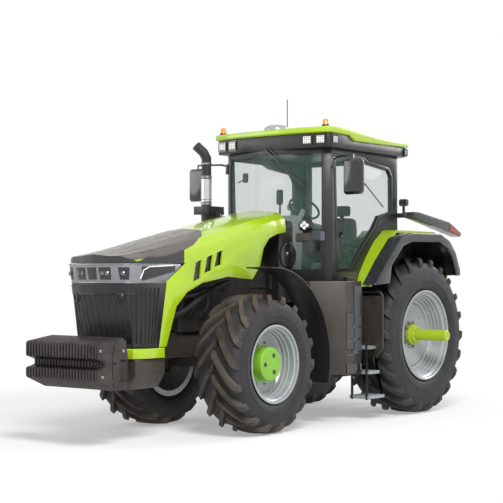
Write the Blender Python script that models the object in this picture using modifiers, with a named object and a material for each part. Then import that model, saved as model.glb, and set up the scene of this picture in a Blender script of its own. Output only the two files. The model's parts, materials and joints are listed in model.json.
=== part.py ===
"""A large farm tractor with front weights, steered front axle, opening hood, cab with a door and rear lift links.

It faces -Y, its left side is +X, and it stands on Z = 0. The origin is below the middle of its bounding box.
Lengths are in metres.
"""

import math

import bmesh
import bpy
from mathutils import Matrix, Vector

# ---------------------------------------------------------------- driving dimensions
WHEELBASE = 3.0
FRONT_OVERHANG = 2.225  # front axle to the front face of the weights
REAR_OVERHANG = 1.25  # rear axle to the ends of the lift links
GAP = 0.0003  # between pieces that touch
CLEARANCE = 0.006  # between pieces that move past each other

FRONT_TYRE_RADIUS = 0.77
FRONT_TYRE_INNER_X = 0.46
FRONT_TYRE_OUTER_X = 1.085
FRONT_FLANGE_RADIUS = 0.434
REAR_TYRE_RADIUS = 0.99
REAR_TYRE_INNER_X = 0.52
REAR_TYRE_OUTER_X = 1.22
REAR_FLANGE_RADIUS = 0.571
HUB_BAR_END_X = 1.503
HUB_BAR_RADIUS = 0.07
WHEEL_SIDES = 36  # rims and tyres alike, so that their flats line up

KINGPIN_X = 0.56
BEAM_HALF_HEIGHT = 0.07
FRAME_HALF_WIDTH = 0.14
FRAME_HEIGHT = 0.275
FENDER_GAP = 0.30  # front tyre to the top face of its fender
FENDER_INNER_X = 0.68
FENDER_OUTER_X = 1.05
SHEET = 0.015

HOOD_HALF_WIDTH = 0.50
HOOD_WALL = 0.02
HOOD_REAR_TOP = 2.53
HOOD_NOSE_TOP = 1.965
BAR_BOTTOM = 0.88
BAR_TOP = 0.985
BAND_BOTTOM = 1.66
BAND_TOP = 1.87

CAB_HALF_WIDTH = 0.80
CAB_WALL = 0.05
CAB_FLOOR = 1.60
CAB_CEILING = 3.28
FLOOR_THICKNESS = 0.12
GLASS = 0.008
ROOF_EDGE = 3.46
ROOF_TOP = 3.53
ANTENNA_TOP = 3.952

REAR_FENDER_REACH = REAR_TYRE_RADIUS + 0.20
FENDER_INNER_WALL_X = 0.49
REAR_FENDER_OUTER_X = 1.0
FLARE_OUTER_X = 1.20

TRANSMISSION_HALF_WIDTH = 0.20
TRANSMISSION_TOP = 1.25
TRANSMISSION_BOTTOM = 0.62
TANK_BOTTOM = 0.56
TANK_TOP = 1.68
TANK_OUTER_X = 1.0
TANK_INNER_X = 0.45

WEIGHT_HALF_WIDTH = 0.525

# ---------------------------------------------------------------- places worked out from them
FRONT_AXLE_Y = FRONT_OVERHANG - (FRONT_OVERHANG + WHEELBASE + REAR_OVERHANG) / 2
REAR_AXLE_Y = FRONT_AXLE_Y + WHEELBASE
FRONT_AXLE_Z = FRONT_TYRE_RADIUS
REAR_AXLE_Z = REAR_TYRE_RADIUS
FRAME_BOTTOM = FRONT_AXLE_Z + BEAM_HALF_HEIGHT + GAP
FRAME_TOP = FRAME_BOTTOM + FRAME_HEIGHT
COWL_FRONT_Y = REAR_AXLE_Y - 2.04
COWL_REAR_Y = REAR_AXLE_Y - 1.76
HOOD_REAR_Y = COWL_FRONT_Y - 0.027
HOOD_HINGE_Y = HOOD_REAR_Y - 0.05
HOOD_HINGE_Z = HOOD_REAR_TOP - 0.07
TRANSMISSION_FRONT_Y = REAR_AXLE_Y - 1.85
AXLE_HOUSING_FRONT_Y = REAR_AXLE_Y - 0.45
AXLE_HOUSING_REAR_Y = REAR_AXLE_Y + 0.35
TANK_FRONT_Y = REAR_AXLE_Y - 1.78
TANK_REAR_Y = REAR_AXLE_Y - REAR_TYRE_RADIUS - 0.21
DOOR_HINGE_X = CAB_HALF_WIDTH + 0.05
DOOR_HINGE_Y = REAR_AXLE_Y - 0.14
FENDER_TOP = REAR_AXLE_Z + 1.118 * REAR_FENDER_REACH
LINK_PIVOT_Y = AXLE_HOUSING_REAR_Y + 0.07
LINK_PIVOT_Z = TRANSMISSION_BOTTOM - 0.04

# name: (red, green, blue), roughness, metallic
FINISHES = {
    "green_paint": ((0.42, 0.72, 0.02), 0.30, 0.0),
    "hub_green": ((0.30, 0.62, 0.04), 0.35, 0.0),
    "dark_plastic": ((0.06, 0.06, 0.06), 0.50, 0.0),
    "grey_plastic": ((0.13, 0.14, 0.15), 0.45, 0.0),
    "brown_plastic": ((0.14, 0.12, 0.10), 0.55, 0.0),
    "cast_iron": ((0.10, 0.09, 0.085), 0.60, 0.2),
    "silver_rim": ((0.55, 0.57, 0.58), 0.35, 0.6),
    "tyre_rubber": ((0.05, 0.05, 0.055), 0.80, 0.0),
    "tinted_glass": ((0.55, 0.70, 0.62), 0.05, 0.0),
    "seat_cloth": ((0.16, 0.17, 0.18), 0.90, 0.0),
    "amber_lens": ((0.90, 0.22, 0.02), 0.20, 0.0),
    "chrome": ((0.60, 0.60, 0.60), 0.15, 1.0),
}


# ---------------------------------------------------------------- the scene
def clear_scene():
    for obj in list(bpy.data.objects):
        bpy.data.objects.remove(obj, do_unlink=True)
    for collection in list(bpy.data.collections):
        bpy.data.collections.remove(collection)


def new_collection(name):
    collection = bpy.data.collections.new(name)
    bpy.context.scene.collection.children.link(collection)
    return collection


def material(finish):
    found = bpy.data.materials.get(finish)
    if found:
        return found
    colour, roughness, metallic = FINISHES[finish]
    made = bpy.data.materials.new(finish)
    made.use_nodes = True
    shader = made.node_tree.nodes["Principled BSDF"]
    shader.inputs["Base Color"].default_value = (*colour, 1.0)
    shader.inputs["Roughness"].default_value = roughness
    shader.inputs["Metallic"].default_value = metallic
    return made


clear_scene()
PARTS = new_collection("farm_tractor")
CUTTERS = new_collection("cutters")


def place(name, mesh):
    obj = bpy.data.objects.new(name, mesh)
    PARTS.objects.link(obj)
    return obj


def as_cutter(obj):
    """Keeps a helper shape out of the part: it only cuts another piece or is joined to it."""
    PARTS.objects.unlink(obj)
    CUTTERS.objects.link(obj)
    obj.hide_render = True
    obj.display_type = "WIRE"
    return obj


def boolean(obj, operation, helpers):
    for helper in helpers:
        modifier = obj.modifiers.new(helper.name, "BOOLEAN")
        modifier.operation = operation
        modifier.object = as_cutter(helper) if helper.name in PARTS.objects else helper
    return obj


def joined(obj, *helpers):
    return boolean(obj, "UNION", helpers)


def cut(obj, *helpers):
    return boolean(obj, "DIFFERENCE", helpers)


def kept_inside(obj, *helpers):
    return boolean(obj, "INTERSECT", helpers)


def finished(obj, finish):
    """Gives a piece its material, and shades it smooth but for its sharp edges."""
    obj.data.materials.clear()
    obj.data.materials.append(material(finish))
    obj.data.shade_smooth()
    obj.data.set_sharp_from_angle(angle=math.radians(32))
    return obj


def bevelled(obj, width, segments=1):
    modifier = obj.modifiers.new("rounded edges", "BEVEL")
    modifier.width = width
    modifier.segments = segments
    modifier.limit_method = "ANGLE"
    modifier.angle_limit = math.radians(40)
    return obj


# ---------------------------------------------------------------- basic shapes
def box(name, low, high):
    mesh = bpy.data.meshes.new(name)
    shape = bmesh.new()
    bmesh.ops.create_cube(shape, size=1.0)
    for vertex in shape.verts:
        for i in range(3):
            vertex.co[i] = low[i] + (vertex.co[i] + 0.5) * (high[i] - low[i])
    shape.to_mesh(mesh)
    shape.free()
    return place(name, mesh)


def cylinder(name, centre, radius, low, high, axis, sides=20):
    """A round bar along axis X, Y or Z, from low to high; centre gives its other two coordinates in order."""
    mesh = bpy.data.meshes.new(name)
    shape = bmesh.new()
    bmesh.ops.create_cone(shape, cap_ends=True, segments=sides, radius1=radius, radius2=radius, depth=high - low)
    turn = {
        "X": Matrix.Rotation(math.pi / 2, 4, "Y"),
        "Y": Matrix.Rotation(-math.pi / 2, 4, "X"),
        "Z": Matrix.Identity(4),
    }[axis]
    middle = (low + high) / 2
    where = {
        "X": (middle, *centre),
        "Y": (centre[0], middle, centre[1]),
        "Z": (*centre, middle),
    }[axis]
    bmesh.ops.transform(shape, matrix=Matrix.Translation(where) @ turn, verts=shape.verts)
    shape.to_mesh(mesh)
    shape.free()
    return place(name, mesh)


def mesh_of_curve(name, curve):
    """The curve's mesh with its loose caps welded on."""
    obj = place(name + "_curve", curve)
    bpy.context.view_layer.update()
    mesh = bpy.data.meshes.new_from_object(obj.evaluated_get(bpy.context.evaluated_depsgraph_get()))
    bpy.data.objects.remove(obj)
    bpy.data.curves.remove(curve)
    shape = bmesh.new()
    shape.from_mesh(mesh)
    bmesh.ops.remove_doubles(shape, verts=shape.verts, dist=0.00002)
    bmesh.ops.recalc_face_normals(shape, faces=shape.faces)
    shape.to_mesh(mesh)
    shape.free()
    mesh.materials.clear()
    return mesh


# Each plate axis, with the directions of its outline's first and second numbers and of its thickness.
PLATE_TURNS = {
    "X": Matrix(((0, 0, 1, 0), (1, 0, 0, 0), (0, 1, 0, 0), (0, 0, 0, 1))),
    "Y": Matrix(((1, 0, 0, 0), (0, 0, -1, 0), (0, 1, 0, 0), (0, 0, 0, 1))),
    "Z": Matrix.Identity(4),
}


def plate(name, outlines, axis, low, high):
    """A flat piece between low and high along its axis. A second outline inside the first is a hole."""
    curve = bpy.data.curves.new(name, "CURVE")
    curve.dimensions = "2D"
    curve.fill_mode = "BOTH"
    curve.extrude = (high - low) / 2
    for outline in outlines:
        spline = curve.splines.new("POLY")
        spline.points.add(len(outline) - 1)
        for point, (first, second) in zip(spline.points, outline):
            point.co = (first, second, 0, 1)
        spline.use_cyclic_u = True
    mesh = mesh_of_curve(name, curve)
    middle = (low + high) / 2
    where = {"X": (middle, 0, 0), "Y": (0, middle, 0), "Z": (0, 0, middle)}[axis]
    mesh.transform(Matrix.Translation(where) @ PLATE_TURNS[axis])
    return place(name, mesh)


def tube(name, points, radius):
    curve = bpy.data.curves.new(name, "CURVE")
    curve.dimensions = "3D"
    curve.bevel_depth = radius
    curve.bevel_resolution = 2
    curve.use_fill_caps = True
    spline = curve.splines.new("POLY")
    spline.points.add(len(points) - 1)
    for point, where in zip(spline.points, points):
        point.co = (*where, 1)
    return place(name, mesh_of_curve(name, curve))


def turned(name, profile, sides, closed):
    """A turned shape about Z from (radius, height) points, which run down its outer side."""
    mesh = bpy.data.meshes.new(name)
    edges = [(i, i + 1) for i in range(len(profile) - 1)]
    if closed:
        edges.append((len(profile) - 1, 0))
    mesh.from_pydata([(radius, 0, height) for radius, height in profile], edges, [])
    obj = place(name, mesh)
    modifier = obj.modifiers.new("turned", "SCREW")
    modifier.steps = modifier.render_steps = sides
    modifier.use_merge_vertices = True
    modifier.merge_threshold = 0.0001
    modifier.use_smooth_shade = True
    return obj


def on_axle(obj, side, axle_y, axle_z):
    """Turns a piece from the Z axis onto a wheel's axle, with its upper end outwards on that side."""
    obj.rotation_euler = (0, side * math.pi / 2, 0)
    obj.location = (0, axle_y, axle_z)
    return obj


def inset(outline, distance):
    """The outline moved inwards by a distance, or outwards by a negative one."""
    count = len(outline)
    area = sum(
        outline[i][0] * outline[(i + 1) % count][1] - outline[(i + 1) % count][0] * outline[i][1]
        for i in range(count)
    )
    turn = 1 if area > 0 else -1
    moved = []
    for i in range(count):
        before, here, after = (Vector(outline[(i + step) % count]) for step in (-1, 0, 1))
        first = (here - before).normalized()
        second = (after - here).normalized()
        first_normal = Vector((-first.y, first.x)) * turn
        second_normal = Vector((-second.y, second.x)) * turn
        reach = distance / (1 + first_normal.dot(second_normal))
        moved.append(tuple(here + (first_normal + second_normal) * reach))
    return moved


def mirrored(half):
    """A whole plan outline from the half at +X, listed from the back to the front."""
    return half + [(-x, y) for x, y in reversed(half) if x > 0]


def beside(low_x, high_x, side):
    """An X range on the left (side 1) or right (side -1)."""
    return (low_x, high_x) if side > 0 else (-high_x, -low_x)


def side_box(name, side, low, high):
    low_x, high_x = beside(low[0], high[0], side)
    return box(name, (low_x, low[1], low[2]), (high_x, high[1], high[2]))


SIDES = {"left": 1, "right": -1}


# ---------------------------------------------------------------- wheels
def tyre_profile(radius, inner_x, outer_x, bead_radius, flange_radius, bead_inner, bead_outer):
    shoulder = 0.045
    bulge = flange_radius + 0.5 * (radius - flange_radius)
    return [
        (bead_radius + GAP, bead_outer - GAP),
        (flange_radius + 0.006, bead_outer - GAP),
        (bulge, outer_x),
        (radius - shoulder, outer_x - 0.02),
        (radius, outer_x - 0.10),
        (radius, inner_x + 0.10),
        (radius - shoulder, inner_x + 0.02),
        (bulge, inner_x),
        (flange_radius + 0.006, bead_inner + GAP),
        (bead_radius + GAP, bead_inner + GAP),
    ]


FLANGE = 0.012
RIM_WALL = 0.02
FRONT_BEAD_RADIUS = FRONT_FLANGE_RADIUS - 0.039
FRONT_RIM_INNER_X = FRONT_TYRE_INNER_X + 0.03
FRONT_RIM_OUTER_X = FRONT_TYRE_OUTER_X - 0.025
FRONT_HUB_FACE_X = FRONT_RIM_OUTER_X - 0.07
FRONT_HUB_RADIUS = 0.187
FRONT_DISC_X = 0.84
FRONT_DISC_THICKNESS = 0.02
REAR_BEAD_RADIUS = REAR_FLANGE_RADIUS - 0.046
REAR_RIM_INNER_X = REAR_TYRE_INNER_X + 0.04
REAR_RIM_OUTER_X = REAR_TYRE_OUTER_X - 0.025
REAR_DISC_X = 0.945
REAR_DISC_THICKNESS = 0.02
REAR_FLANGE_HUB_RADIUS = 0.135


def front_wheel(name, side):
    """Rim, disc and planetary hub, one green piece."""
    barrel = FRONT_BEAD_RADIUS - RIM_WALL
    disc_outer = FRONT_DISC_X + FRONT_DISC_THICKNESS
    profile = [
        (0, FRONT_HUB_FACE_X),
        (FRONT_HUB_RADIUS, FRONT_HUB_FACE_X),
        (FRONT_HUB_RADIUS, disc_outer),
        (barrel, disc_outer),
        (barrel, FRONT_RIM_OUTER_X),
        (FRONT_FLANGE_RADIUS, FRONT_RIM_OUTER_X),
        (FRONT_FLANGE_RADIUS, FRONT_RIM_OUTER_X - FLANGE),
        (FRONT_BEAD_RADIUS, FRONT_RIM_OUTER_X - FLANGE),
        (FRONT_BEAD_RADIUS, FRONT_RIM_INNER_X + FLANGE),
        (FRONT_FLANGE_RADIUS, FRONT_RIM_INNER_X + FLANGE),
        (FRONT_FLANGE_RADIUS, FRONT_RIM_INNER_X),
        (barrel, FRONT_RIM_INNER_X),
        (barrel, FRONT_DISC_X),
        (0, FRONT_DISC_X),
    ]
    wheel = turned(name, profile, WHEEL_SIDES, closed=False)
    return finished(on_axle(wheel, side, FRONT_AXLE_Y, FRONT_AXLE_Z), "hub_green")


def front_tyre(name, side):
    profile = tyre_profile(
        FRONT_TYRE_RADIUS,
        FRONT_TYRE_INNER_X,
        FRONT_TYRE_OUTER_X,
        FRONT_BEAD_RADIUS,
        FRONT_FLANGE_RADIUS,
        FRONT_RIM_INNER_X + FLANGE,
        FRONT_RIM_OUTER_X - FLANGE,
    )
    tyre = turned(name, profile, WHEEL_SIDES, closed=True)
    return finished(on_axle(tyre, side, FRONT_AXLE_Y, FRONT_AXLE_Z), "tyre_rubber")


def rear_tyre(name, side):
    profile = tyre_profile(
        REAR_TYRE_RADIUS,
        REAR_TYRE_INNER_X,
        REAR_TYRE_OUTER_X,
        REAR_BEAD_RADIUS,
        REAR_FLANGE_RADIUS,
        REAR_RIM_INNER_X + FLANGE,
        REAR_RIM_OUTER_X - FLANGE,
    )
    tyre = turned(name, profile, WHEEL_SIDES, closed=True)
    return finished(on_axle(tyre, side, REAR_AXLE_Y, REAR_AXLE_Z), "tyre_rubber")


def rear_rim(name, side):
    barrel = REAR_BEAD_RADIUS - RIM_WALL
    disc_outer = REAR_DISC_X + REAR_DISC_THICKNESS
    dish = 0.06  # how far the disc's rim stands outside its middle
    profile = [
        (REAR_FLANGE_RADIUS, REAR_RIM_OUTER_X),
        (REAR_FLANGE_RADIUS, REAR_RIM_OUTER_X - FLANGE),
        (REAR_BEAD_RADIUS, REAR_RIM_OUTER_X - FLANGE),
        (REAR_BEAD_RADIUS, REAR_RIM_INNER_X + FLANGE),
        (REAR_FLANGE_RADIUS, REAR_RIM_INNER_X + FLANGE),
        (REAR_FLANGE_RADIUS, REAR_RIM_INNER_X),
        (barrel, REAR_RIM_INNER_X),
        (barrel, REAR_DISC_X + dish),
        (barrel - 0.11, REAR_DISC_X),
        (HUB_BAR_RADIUS + GAP, REAR_DISC_X),
        (HUB_BAR_RADIUS + GAP, disc_outer),
        (barrel - 0.11, disc_outer),
        (barrel, disc_outer + dish),
        (barrel, REAR_RIM_OUTER_X),
    ]
    rim = turned(name, profile, WHEEL_SIDES, closed=True)
    return finished(on_axle(rim, side, REAR_AXLE_Y, REAR_AXLE_Z), "silver_rim")


TRUMPET_END_X = 0.86


def rear_hub(name, side):
    """The clamped hub on its long axle bar."""
    face = REAR_DISC_X + REAR_DISC_THICKNESS + GAP
    hub_length = 0.115
    profile = [
        (0, HUB_BAR_END_X),
        (HUB_BAR_RADIUS, HUB_BAR_END_X),
        (HUB_BAR_RADIUS, face + hub_length),
        (REAR_FLANGE_HUB_RADIUS, face + hub_length),
        (REAR_FLANGE_HUB_RADIUS, face),
        (HUB_BAR_RADIUS, face),
        (HUB_BAR_RADIUS, TRUMPET_END_X + 2 * CLEARANCE),
        (0, TRUMPET_END_X + 2 * CLEARANCE),
    ]
    hub = turned(name, profile, 24, closed=False)
    return finished(on_axle(hub, side, REAR_AXLE_Y, REAR_AXLE_Z), "hub_green")


# ---------------------------------------------------------------- front axle and steering
KNUCKLE_RADIUS = 0.10
KNUCKLE_HALF_HEIGHT = 0.115
EAR_THICKNESS = 0.045
FINAL_DRIVE_RADIUS = 0.11
FENDER_RADIUS = FRONT_TYRE_RADIUS + FENDER_GAP
FENDER_ARM_X = 0.435
FENDER_ARM_Y = FRONT_AXLE_Y + 0.32
FENDER_POST_X = 0.74
FENDER_ARM_RADIUS = 0.018


def front_axle():
    """The steered beam: at each end two ears hold the knuckle's kingpins."""
    stem_outer = KINGPIN_X - KNUCKLE_RADIUS - CLEARANCE
    ear_low = KNUCKLE_HALF_HEIGHT + CLEARANCE
    depth = 0.08
    beam = box(
        "front_axle",
        (-stem_outer + 0.01, FRONT_AXLE_Y - depth, FRONT_AXLE_Z - BEAM_HALF_HEIGHT),
        (stem_outer - 0.01, FRONT_AXLE_Y + depth, FRONT_AXLE_Z + BEAM_HALF_HEIGHT),
    )
    ears = []
    for word, side in SIDES.items():
        outline = [
            (stem_outer - 0.05, -ear_low - EAR_THICKNESS),
            (KINGPIN_X + 0.05, -ear_low - EAR_THICKNESS),
            (KINGPIN_X + 0.05, -ear_low),
            (stem_outer, -ear_low),
            (stem_outer, ear_low),
            (KINGPIN_X + 0.05, ear_low),
            (KINGPIN_X + 0.05, ear_low + EAR_THICKNESS),
            (stem_outer - 0.05, ear_low + EAR_THICKNESS),
        ]
        yoke = [(side * x, FRONT_AXLE_Z + z) for x, z in outline]
        width = depth - 0.012
        ears.append(plate("axle_yoke_" + word, [yoke], "Y", FRONT_AXLE_Y - width, FRONT_AXLE_Y + width))
    return finished(joined(beam, *ears), "cast_iron")


def knuckle(name, side):
    """Kingpin housing, final drive and the arm that carries the front fender."""
    body = cylinder(
        name,
        (side * KINGPIN_X, FRONT_AXLE_Y),
        KNUCKLE_RADIUS,
        FRONT_AXLE_Z - KNUCKLE_HALF_HEIGHT,
        FRONT_AXLE_Z + KNUCKLE_HALF_HEIGHT,
        "Z",
        16,
    )
    low, high = beside(KINGPIN_X + 0.03, FRONT_DISC_X - 2 * CLEARANCE, side)
    drive = cylinder(name + "_drive", (FRONT_AXLE_Y, FRONT_AXLE_Z), FINAL_DRIVE_RADIUS, low, high, "X", 20)
    arm_top = FRONT_AXLE_Z + 0.83
    under_fender = FRONT_AXLE_Z + math.sqrt((FENDER_RADIUS - SHEET) ** 2 - (FENDER_ARM_Y - FRONT_AXLE_Y) ** 2)
    route = [
        (KINGPIN_X, FRONT_AXLE_Y + 0.05, FRONT_AXLE_Z),
        (KINGPIN_X - 0.02, FRONT_AXLE_Y + 0.16, FRONT_AXLE_Z + 0.01),
        (FENDER_ARM_X + 0.01, FENDER_ARM_Y - 0.03, FRONT_AXLE_Z + 0.06),
        (FENDER_ARM_X, FENDER_ARM_Y, FRONT_AXLE_Z + 0.14),
        (FENDER_ARM_X, FENDER_ARM_Y, arm_top),
        (FENDER_POST_X, FENDER_ARM_Y, arm_top),
        (FENDER_POST_X, FENDER_ARM_Y, under_fender - 0.02),
    ]
    arm = tube(name + "_arm", [(side * x, y, z) for x, y, z in route], FENDER_ARM_RADIUS)
    return finished(joined(body, drive, arm), "cast_iron")


def front_fender(name, side):
    """A rolled sheet over the back of the tyre."""
    start, end, pieces = math.radians(93), math.radians(-15), 10
    outer, inner = [], []
    for i in range(pieces + 1):
        angle = start + (end - start) * i / pieces
        for radius, line in ((FENDER_RADIUS, outer), (FENDER_RADIUS - SHEET, inner)):
            line.append((FRONT_AXLE_Y + radius * math.cos(angle), FRONT_AXLE_Z + radius * math.sin(angle)))
    low, high = beside(FENDER_INNER_X, FENDER_OUTER_X, side)
    return finished(plate(name, [outer + inner[::-1]], "X", low, high), "dark_plastic")


# ---------------------------------------------------------------- chassis
CASTING_BOTTOM = 0.56
CASTING_FRONT_Y = FRONT_AXLE_Y - 1.60
CASTING_REAR_Y = FRONT_AXLE_Y - 1.15
WEIGHT_NOTCH_Y = FRONT_AXLE_Y - 1.89
WEIGHT_BACK_Y = FRONT_AXLE_Y - 1.77
NOTCH_BOTTOM = 0.67
NOTCH_TOP = 0.885


def front_weights():
    """The row of hooked plates, as one block across the carrier."""
    outline = [  # y from the front axle, z
        (-2.225, 0.91),
        (-2.225, 1.055),
        (-1.85, 1.118),
        (-1.80, 1.08),
        (-1.77, 0.925),
        (-1.77, NOTCH_TOP),
        (-1.89, NOTCH_TOP),
        (-1.89, NOTCH_BOTTOM),
        (-1.79, NOTCH_BOTTOM),
        (-1.79, 0.575),
        (-1.96, 0.58),
        (-2.225, 0.70),
        (-2.225, 0.80),
        (-2.105, 0.82),
        (-2.105, 0.88),
    ]
    shape = [(FRONT_AXLE_Y + y, z) for y, z in outline]
    return finished(plate("front_weights", [shape], "X", -WEIGHT_HALF_WIDTH, WEIGHT_HALF_WIDTH), "brown_plastic")


def weight_carrier():
    bar = box(
        "weight_carrier",
        (-WEIGHT_HALF_WIDTH + 0.03, WEIGHT_NOTCH_Y + GAP, NOTCH_BOTTOM + GAP),
        (WEIGHT_HALF_WIDTH - 0.03, WEIGHT_BACK_Y + 0.02, NOTCH_TOP - GAP),
    )
    neck = box(
        "carrier_neck",
        (-0.30, WEIGHT_BACK_Y, NOTCH_BOTTOM - 0.02),
        (0.30, CASTING_FRONT_Y - GAP, BAR_BOTTOM - 0.02),
    )
    return finished(joined(bar, neck), "cast_iron")


def front_frame():
    """The narrow main frame between the front wheels, with the wide casting at its nose."""
    frame = box(
        "front_frame",
        (-FRAME_HALF_WIDTH, CASTING_FRONT_Y + 0.06, FRAME_BOTTOM),
        (FRAME_HALF_WIDTH, TRANSMISSION_FRONT_Y - GAP, FRAME_TOP),
    )
    half = [
        (0.46, BAR_BOTTOM - GAP),
        (0.46, 0.72),
        (0.36, CASTING_BOTTOM),
    ]
    outline = mirrored(half)
    casting = plate("front_casting", [outline], "Y", CASTING_FRONT_Y, CASTING_REAR_Y)
    return finished(joined(frame, casting), "cast_iron")


def front_bar():
    """The painted bar that runs round the nose under the grille."""
    half = [(0.495, -1.19), (0.49, -1.48), (0.43, -1.61), (0.20, -1.665), (0, -1.675)]
    outer = mirrored([(x, FRONT_AXLE_Y + y) for x, y in half])
    bar = plate("front_bar", [outer], "Z", BAR_BOTTOM, BAR_TOP)
    hollow = mirrored([(x, FRONT_AXLE_Y + y) for x, y in [(0.44, -1.0), (0.44, -1.46), (0.39, -1.565), (0, -1.61)]])
    return finished(cut(bar, plate("bar_hollow", [hollow], "Z", BAR_BOTTOM - 0.1, BAR_TOP + 0.1)), "green_paint")


def radiator():
    return finished(
        box(
            "radiator",
            (-0.36, FRONT_AXLE_Y - 1.42, FRAME_TOP + GAP),
            (0.36, FRONT_AXLE_Y - 1.12, BAND_BOTTOM + 0.14),
        ),
        "dark_plastic",
    )


def engine_block():
    return finished(
        box(
            "engine_block",
            (-0.19, FRONT_AXLE_Y - 0.62, FRAME_TOP + GAP),
            (0.19, COWL_FRONT_Y - GAP, 1.90),
        ),
        "cast_iron",
    )


def transmission():
    return finished(
        bevelled(
            box(
                "transmission",
                (-TRANSMISSION_HALF_WIDTH, TRANSMISSION_FRONT_Y, TRANSMISSION_BOTTOM),
                (TRANSMISSION_HALF_WIDTH, AXLE_HOUSING_FRONT_Y - GAP, TRANSMISSION_TOP),
            ),
            0.03,
        ),
        "cast_iron",
    )


def rear_axle():
    """The final drive housing with the axle tubes that reach into the rear wheels."""
    housing = box(
        "rear_axle",
        (-0.28, AXLE_HOUSING_FRONT_Y, TRANSMISSION_BOTTOM),
        (0.28, AXLE_HOUSING_REAR_Y, CAB_FLOOR - FLOOR_THICKNESS - GAP),
    )
    tubes = cylinder(
        "axle_tubes", (REAR_AXLE_Y, REAR_AXLE_Z), 0.13, -TRUMPET_END_X, TRUMPET_END_X, "X", 20
    )
    saddle = 0.035 + CLEARANCE
    outline = [  # y and z from the link pivot
        (-0.10, 0.18),
        (-0.10, 0.06),
        (-0.075, -0.03),
        (-saddle, -0.03),
        (-saddle, saddle),
        (saddle, saddle),
        (saddle, -0.03),
        (0.075, -0.03),
        (0.075, 0.08),
        (0.0, 0.18),
    ]
    points = [(LINK_PIVOT_Y + y, LINK_PIVOT_Z + z) for y, z in outline]
    lugs = []
    for word, side in SIDES.items():
        low, high = beside(0.16, 0.21, side)
        lugs.append(plate("link_lug_" + word, [points], "X", low, high))
    return finished(joined(housing, tubes, *lugs), "cast_iron")


def drawbar():
    bar = box("drawbar", (-0.06, REAR_AXLE_Y - 0.3, 0.42), (0.06, REAR_AXLE_Y + 1.02, 0.48))
    hanger = box(
        "drawbar_hanger",
        (-0.12, REAR_AXLE_Y - 0.1, 0.47),
        (0.12, REAR_AXLE_Y + 0.25, TRANSMISSION_BOTTOM - GAP),
    )
    return finished(joined(bar, hanger), "cast_iron")


def lower_links():
    """The two lift links, joined by their pivot shaft."""
    pivot_radius = 0.035
    link_x, thickness = 0.38, 0.035
    shaft = cylinder(
        "lower_links", (LINK_PIVOT_Y, LINK_PIVOT_Z), pivot_radius, -link_x - 0.05, link_x + 0.05, "X", 12
    )
    end_y = REAR_AXLE_Y + REAR_OVERHANG
    arms = []
    for word, side in SIDES.items():
        outline = [
            (LINK_PIVOT_Y - 0.045, LINK_PIVOT_Z - 0.02),
            (LINK_PIVOT_Y + 0.02, LINK_PIVOT_Z - 0.05),
            (end_y - 0.06, LINK_PIVOT_Z - 0.08),
            (end_y, LINK_PIVOT_Z - 0.05),
            (end_y, LINK_PIVOT_Z + 0.03),
            (end_y - 0.06, LINK_PIVOT_Z + 0.06),
            (end_y - 0.30, LINK_PIVOT_Z + 0.04),
            (LINK_PIVOT_Y + 0.02, LINK_PIVOT_Z + 0.05),
            (LINK_PIVOT_Y - 0.045, LINK_PIVOT_Z + 0.02),
        ]
        low, high = beside(link_x - thickness / 2, link_x + thickness / 2, side)
        arms.append(plate("link_arm_" + word, [outline], "X", low, high))
    return finished(joined(shaft, *arms), "cast_iron")


# ---------------------------------------------------------------- hood
GRILLE_LEAN = -0.184  # how far the grille leans forward for each metre of height
NOSE_HALF = [(0.47, -1.40), (0.455, -1.60), (0.39, -1.69), (0.20, -1.745), (0, -1.76)]


def hood_side(front_clearance=0.0):
    """The side outline of the painted hood: its nose, the wheel arch and the cut above the cowl."""
    front = [  # y from the front axle, z
        (-1.90, BAND_TOP + 0.005),
        (-0.835, BAND_TOP + 0.005),
        (-1.127, 1.685),
        (-1.25, BAR_TOP + CLEARANCE),
        (-1.13, BAR_TOP + CLEARANCE),
        (-0.974, 1.415),
        (-0.812, 1.562),
        (-0.56, 1.665),
        (-0.141, 1.732),
        (0.298, 1.70),
    ]
    rear = [  # y from the hood's rear edge, z
        (-0.496, 1.857),
        (-0.429, 2.061),
        (-0.322, 2.177),
        (-0.186, 2.229),
        (0.0, 2.259),
        (0.0, HOOD_REAR_TOP + 0.2),
    ]
    outline = [(FRONT_AXLE_Y + y, z) for y, z in front] + [(HOOD_REAR_Y + y, z) for y, z in rear]
    outline.append((FRONT_AXLE_Y - 1.90, HOOD_REAR_TOP + 0.2))
    return inset(outline, front_clearance) if front_clearance else outline


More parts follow.
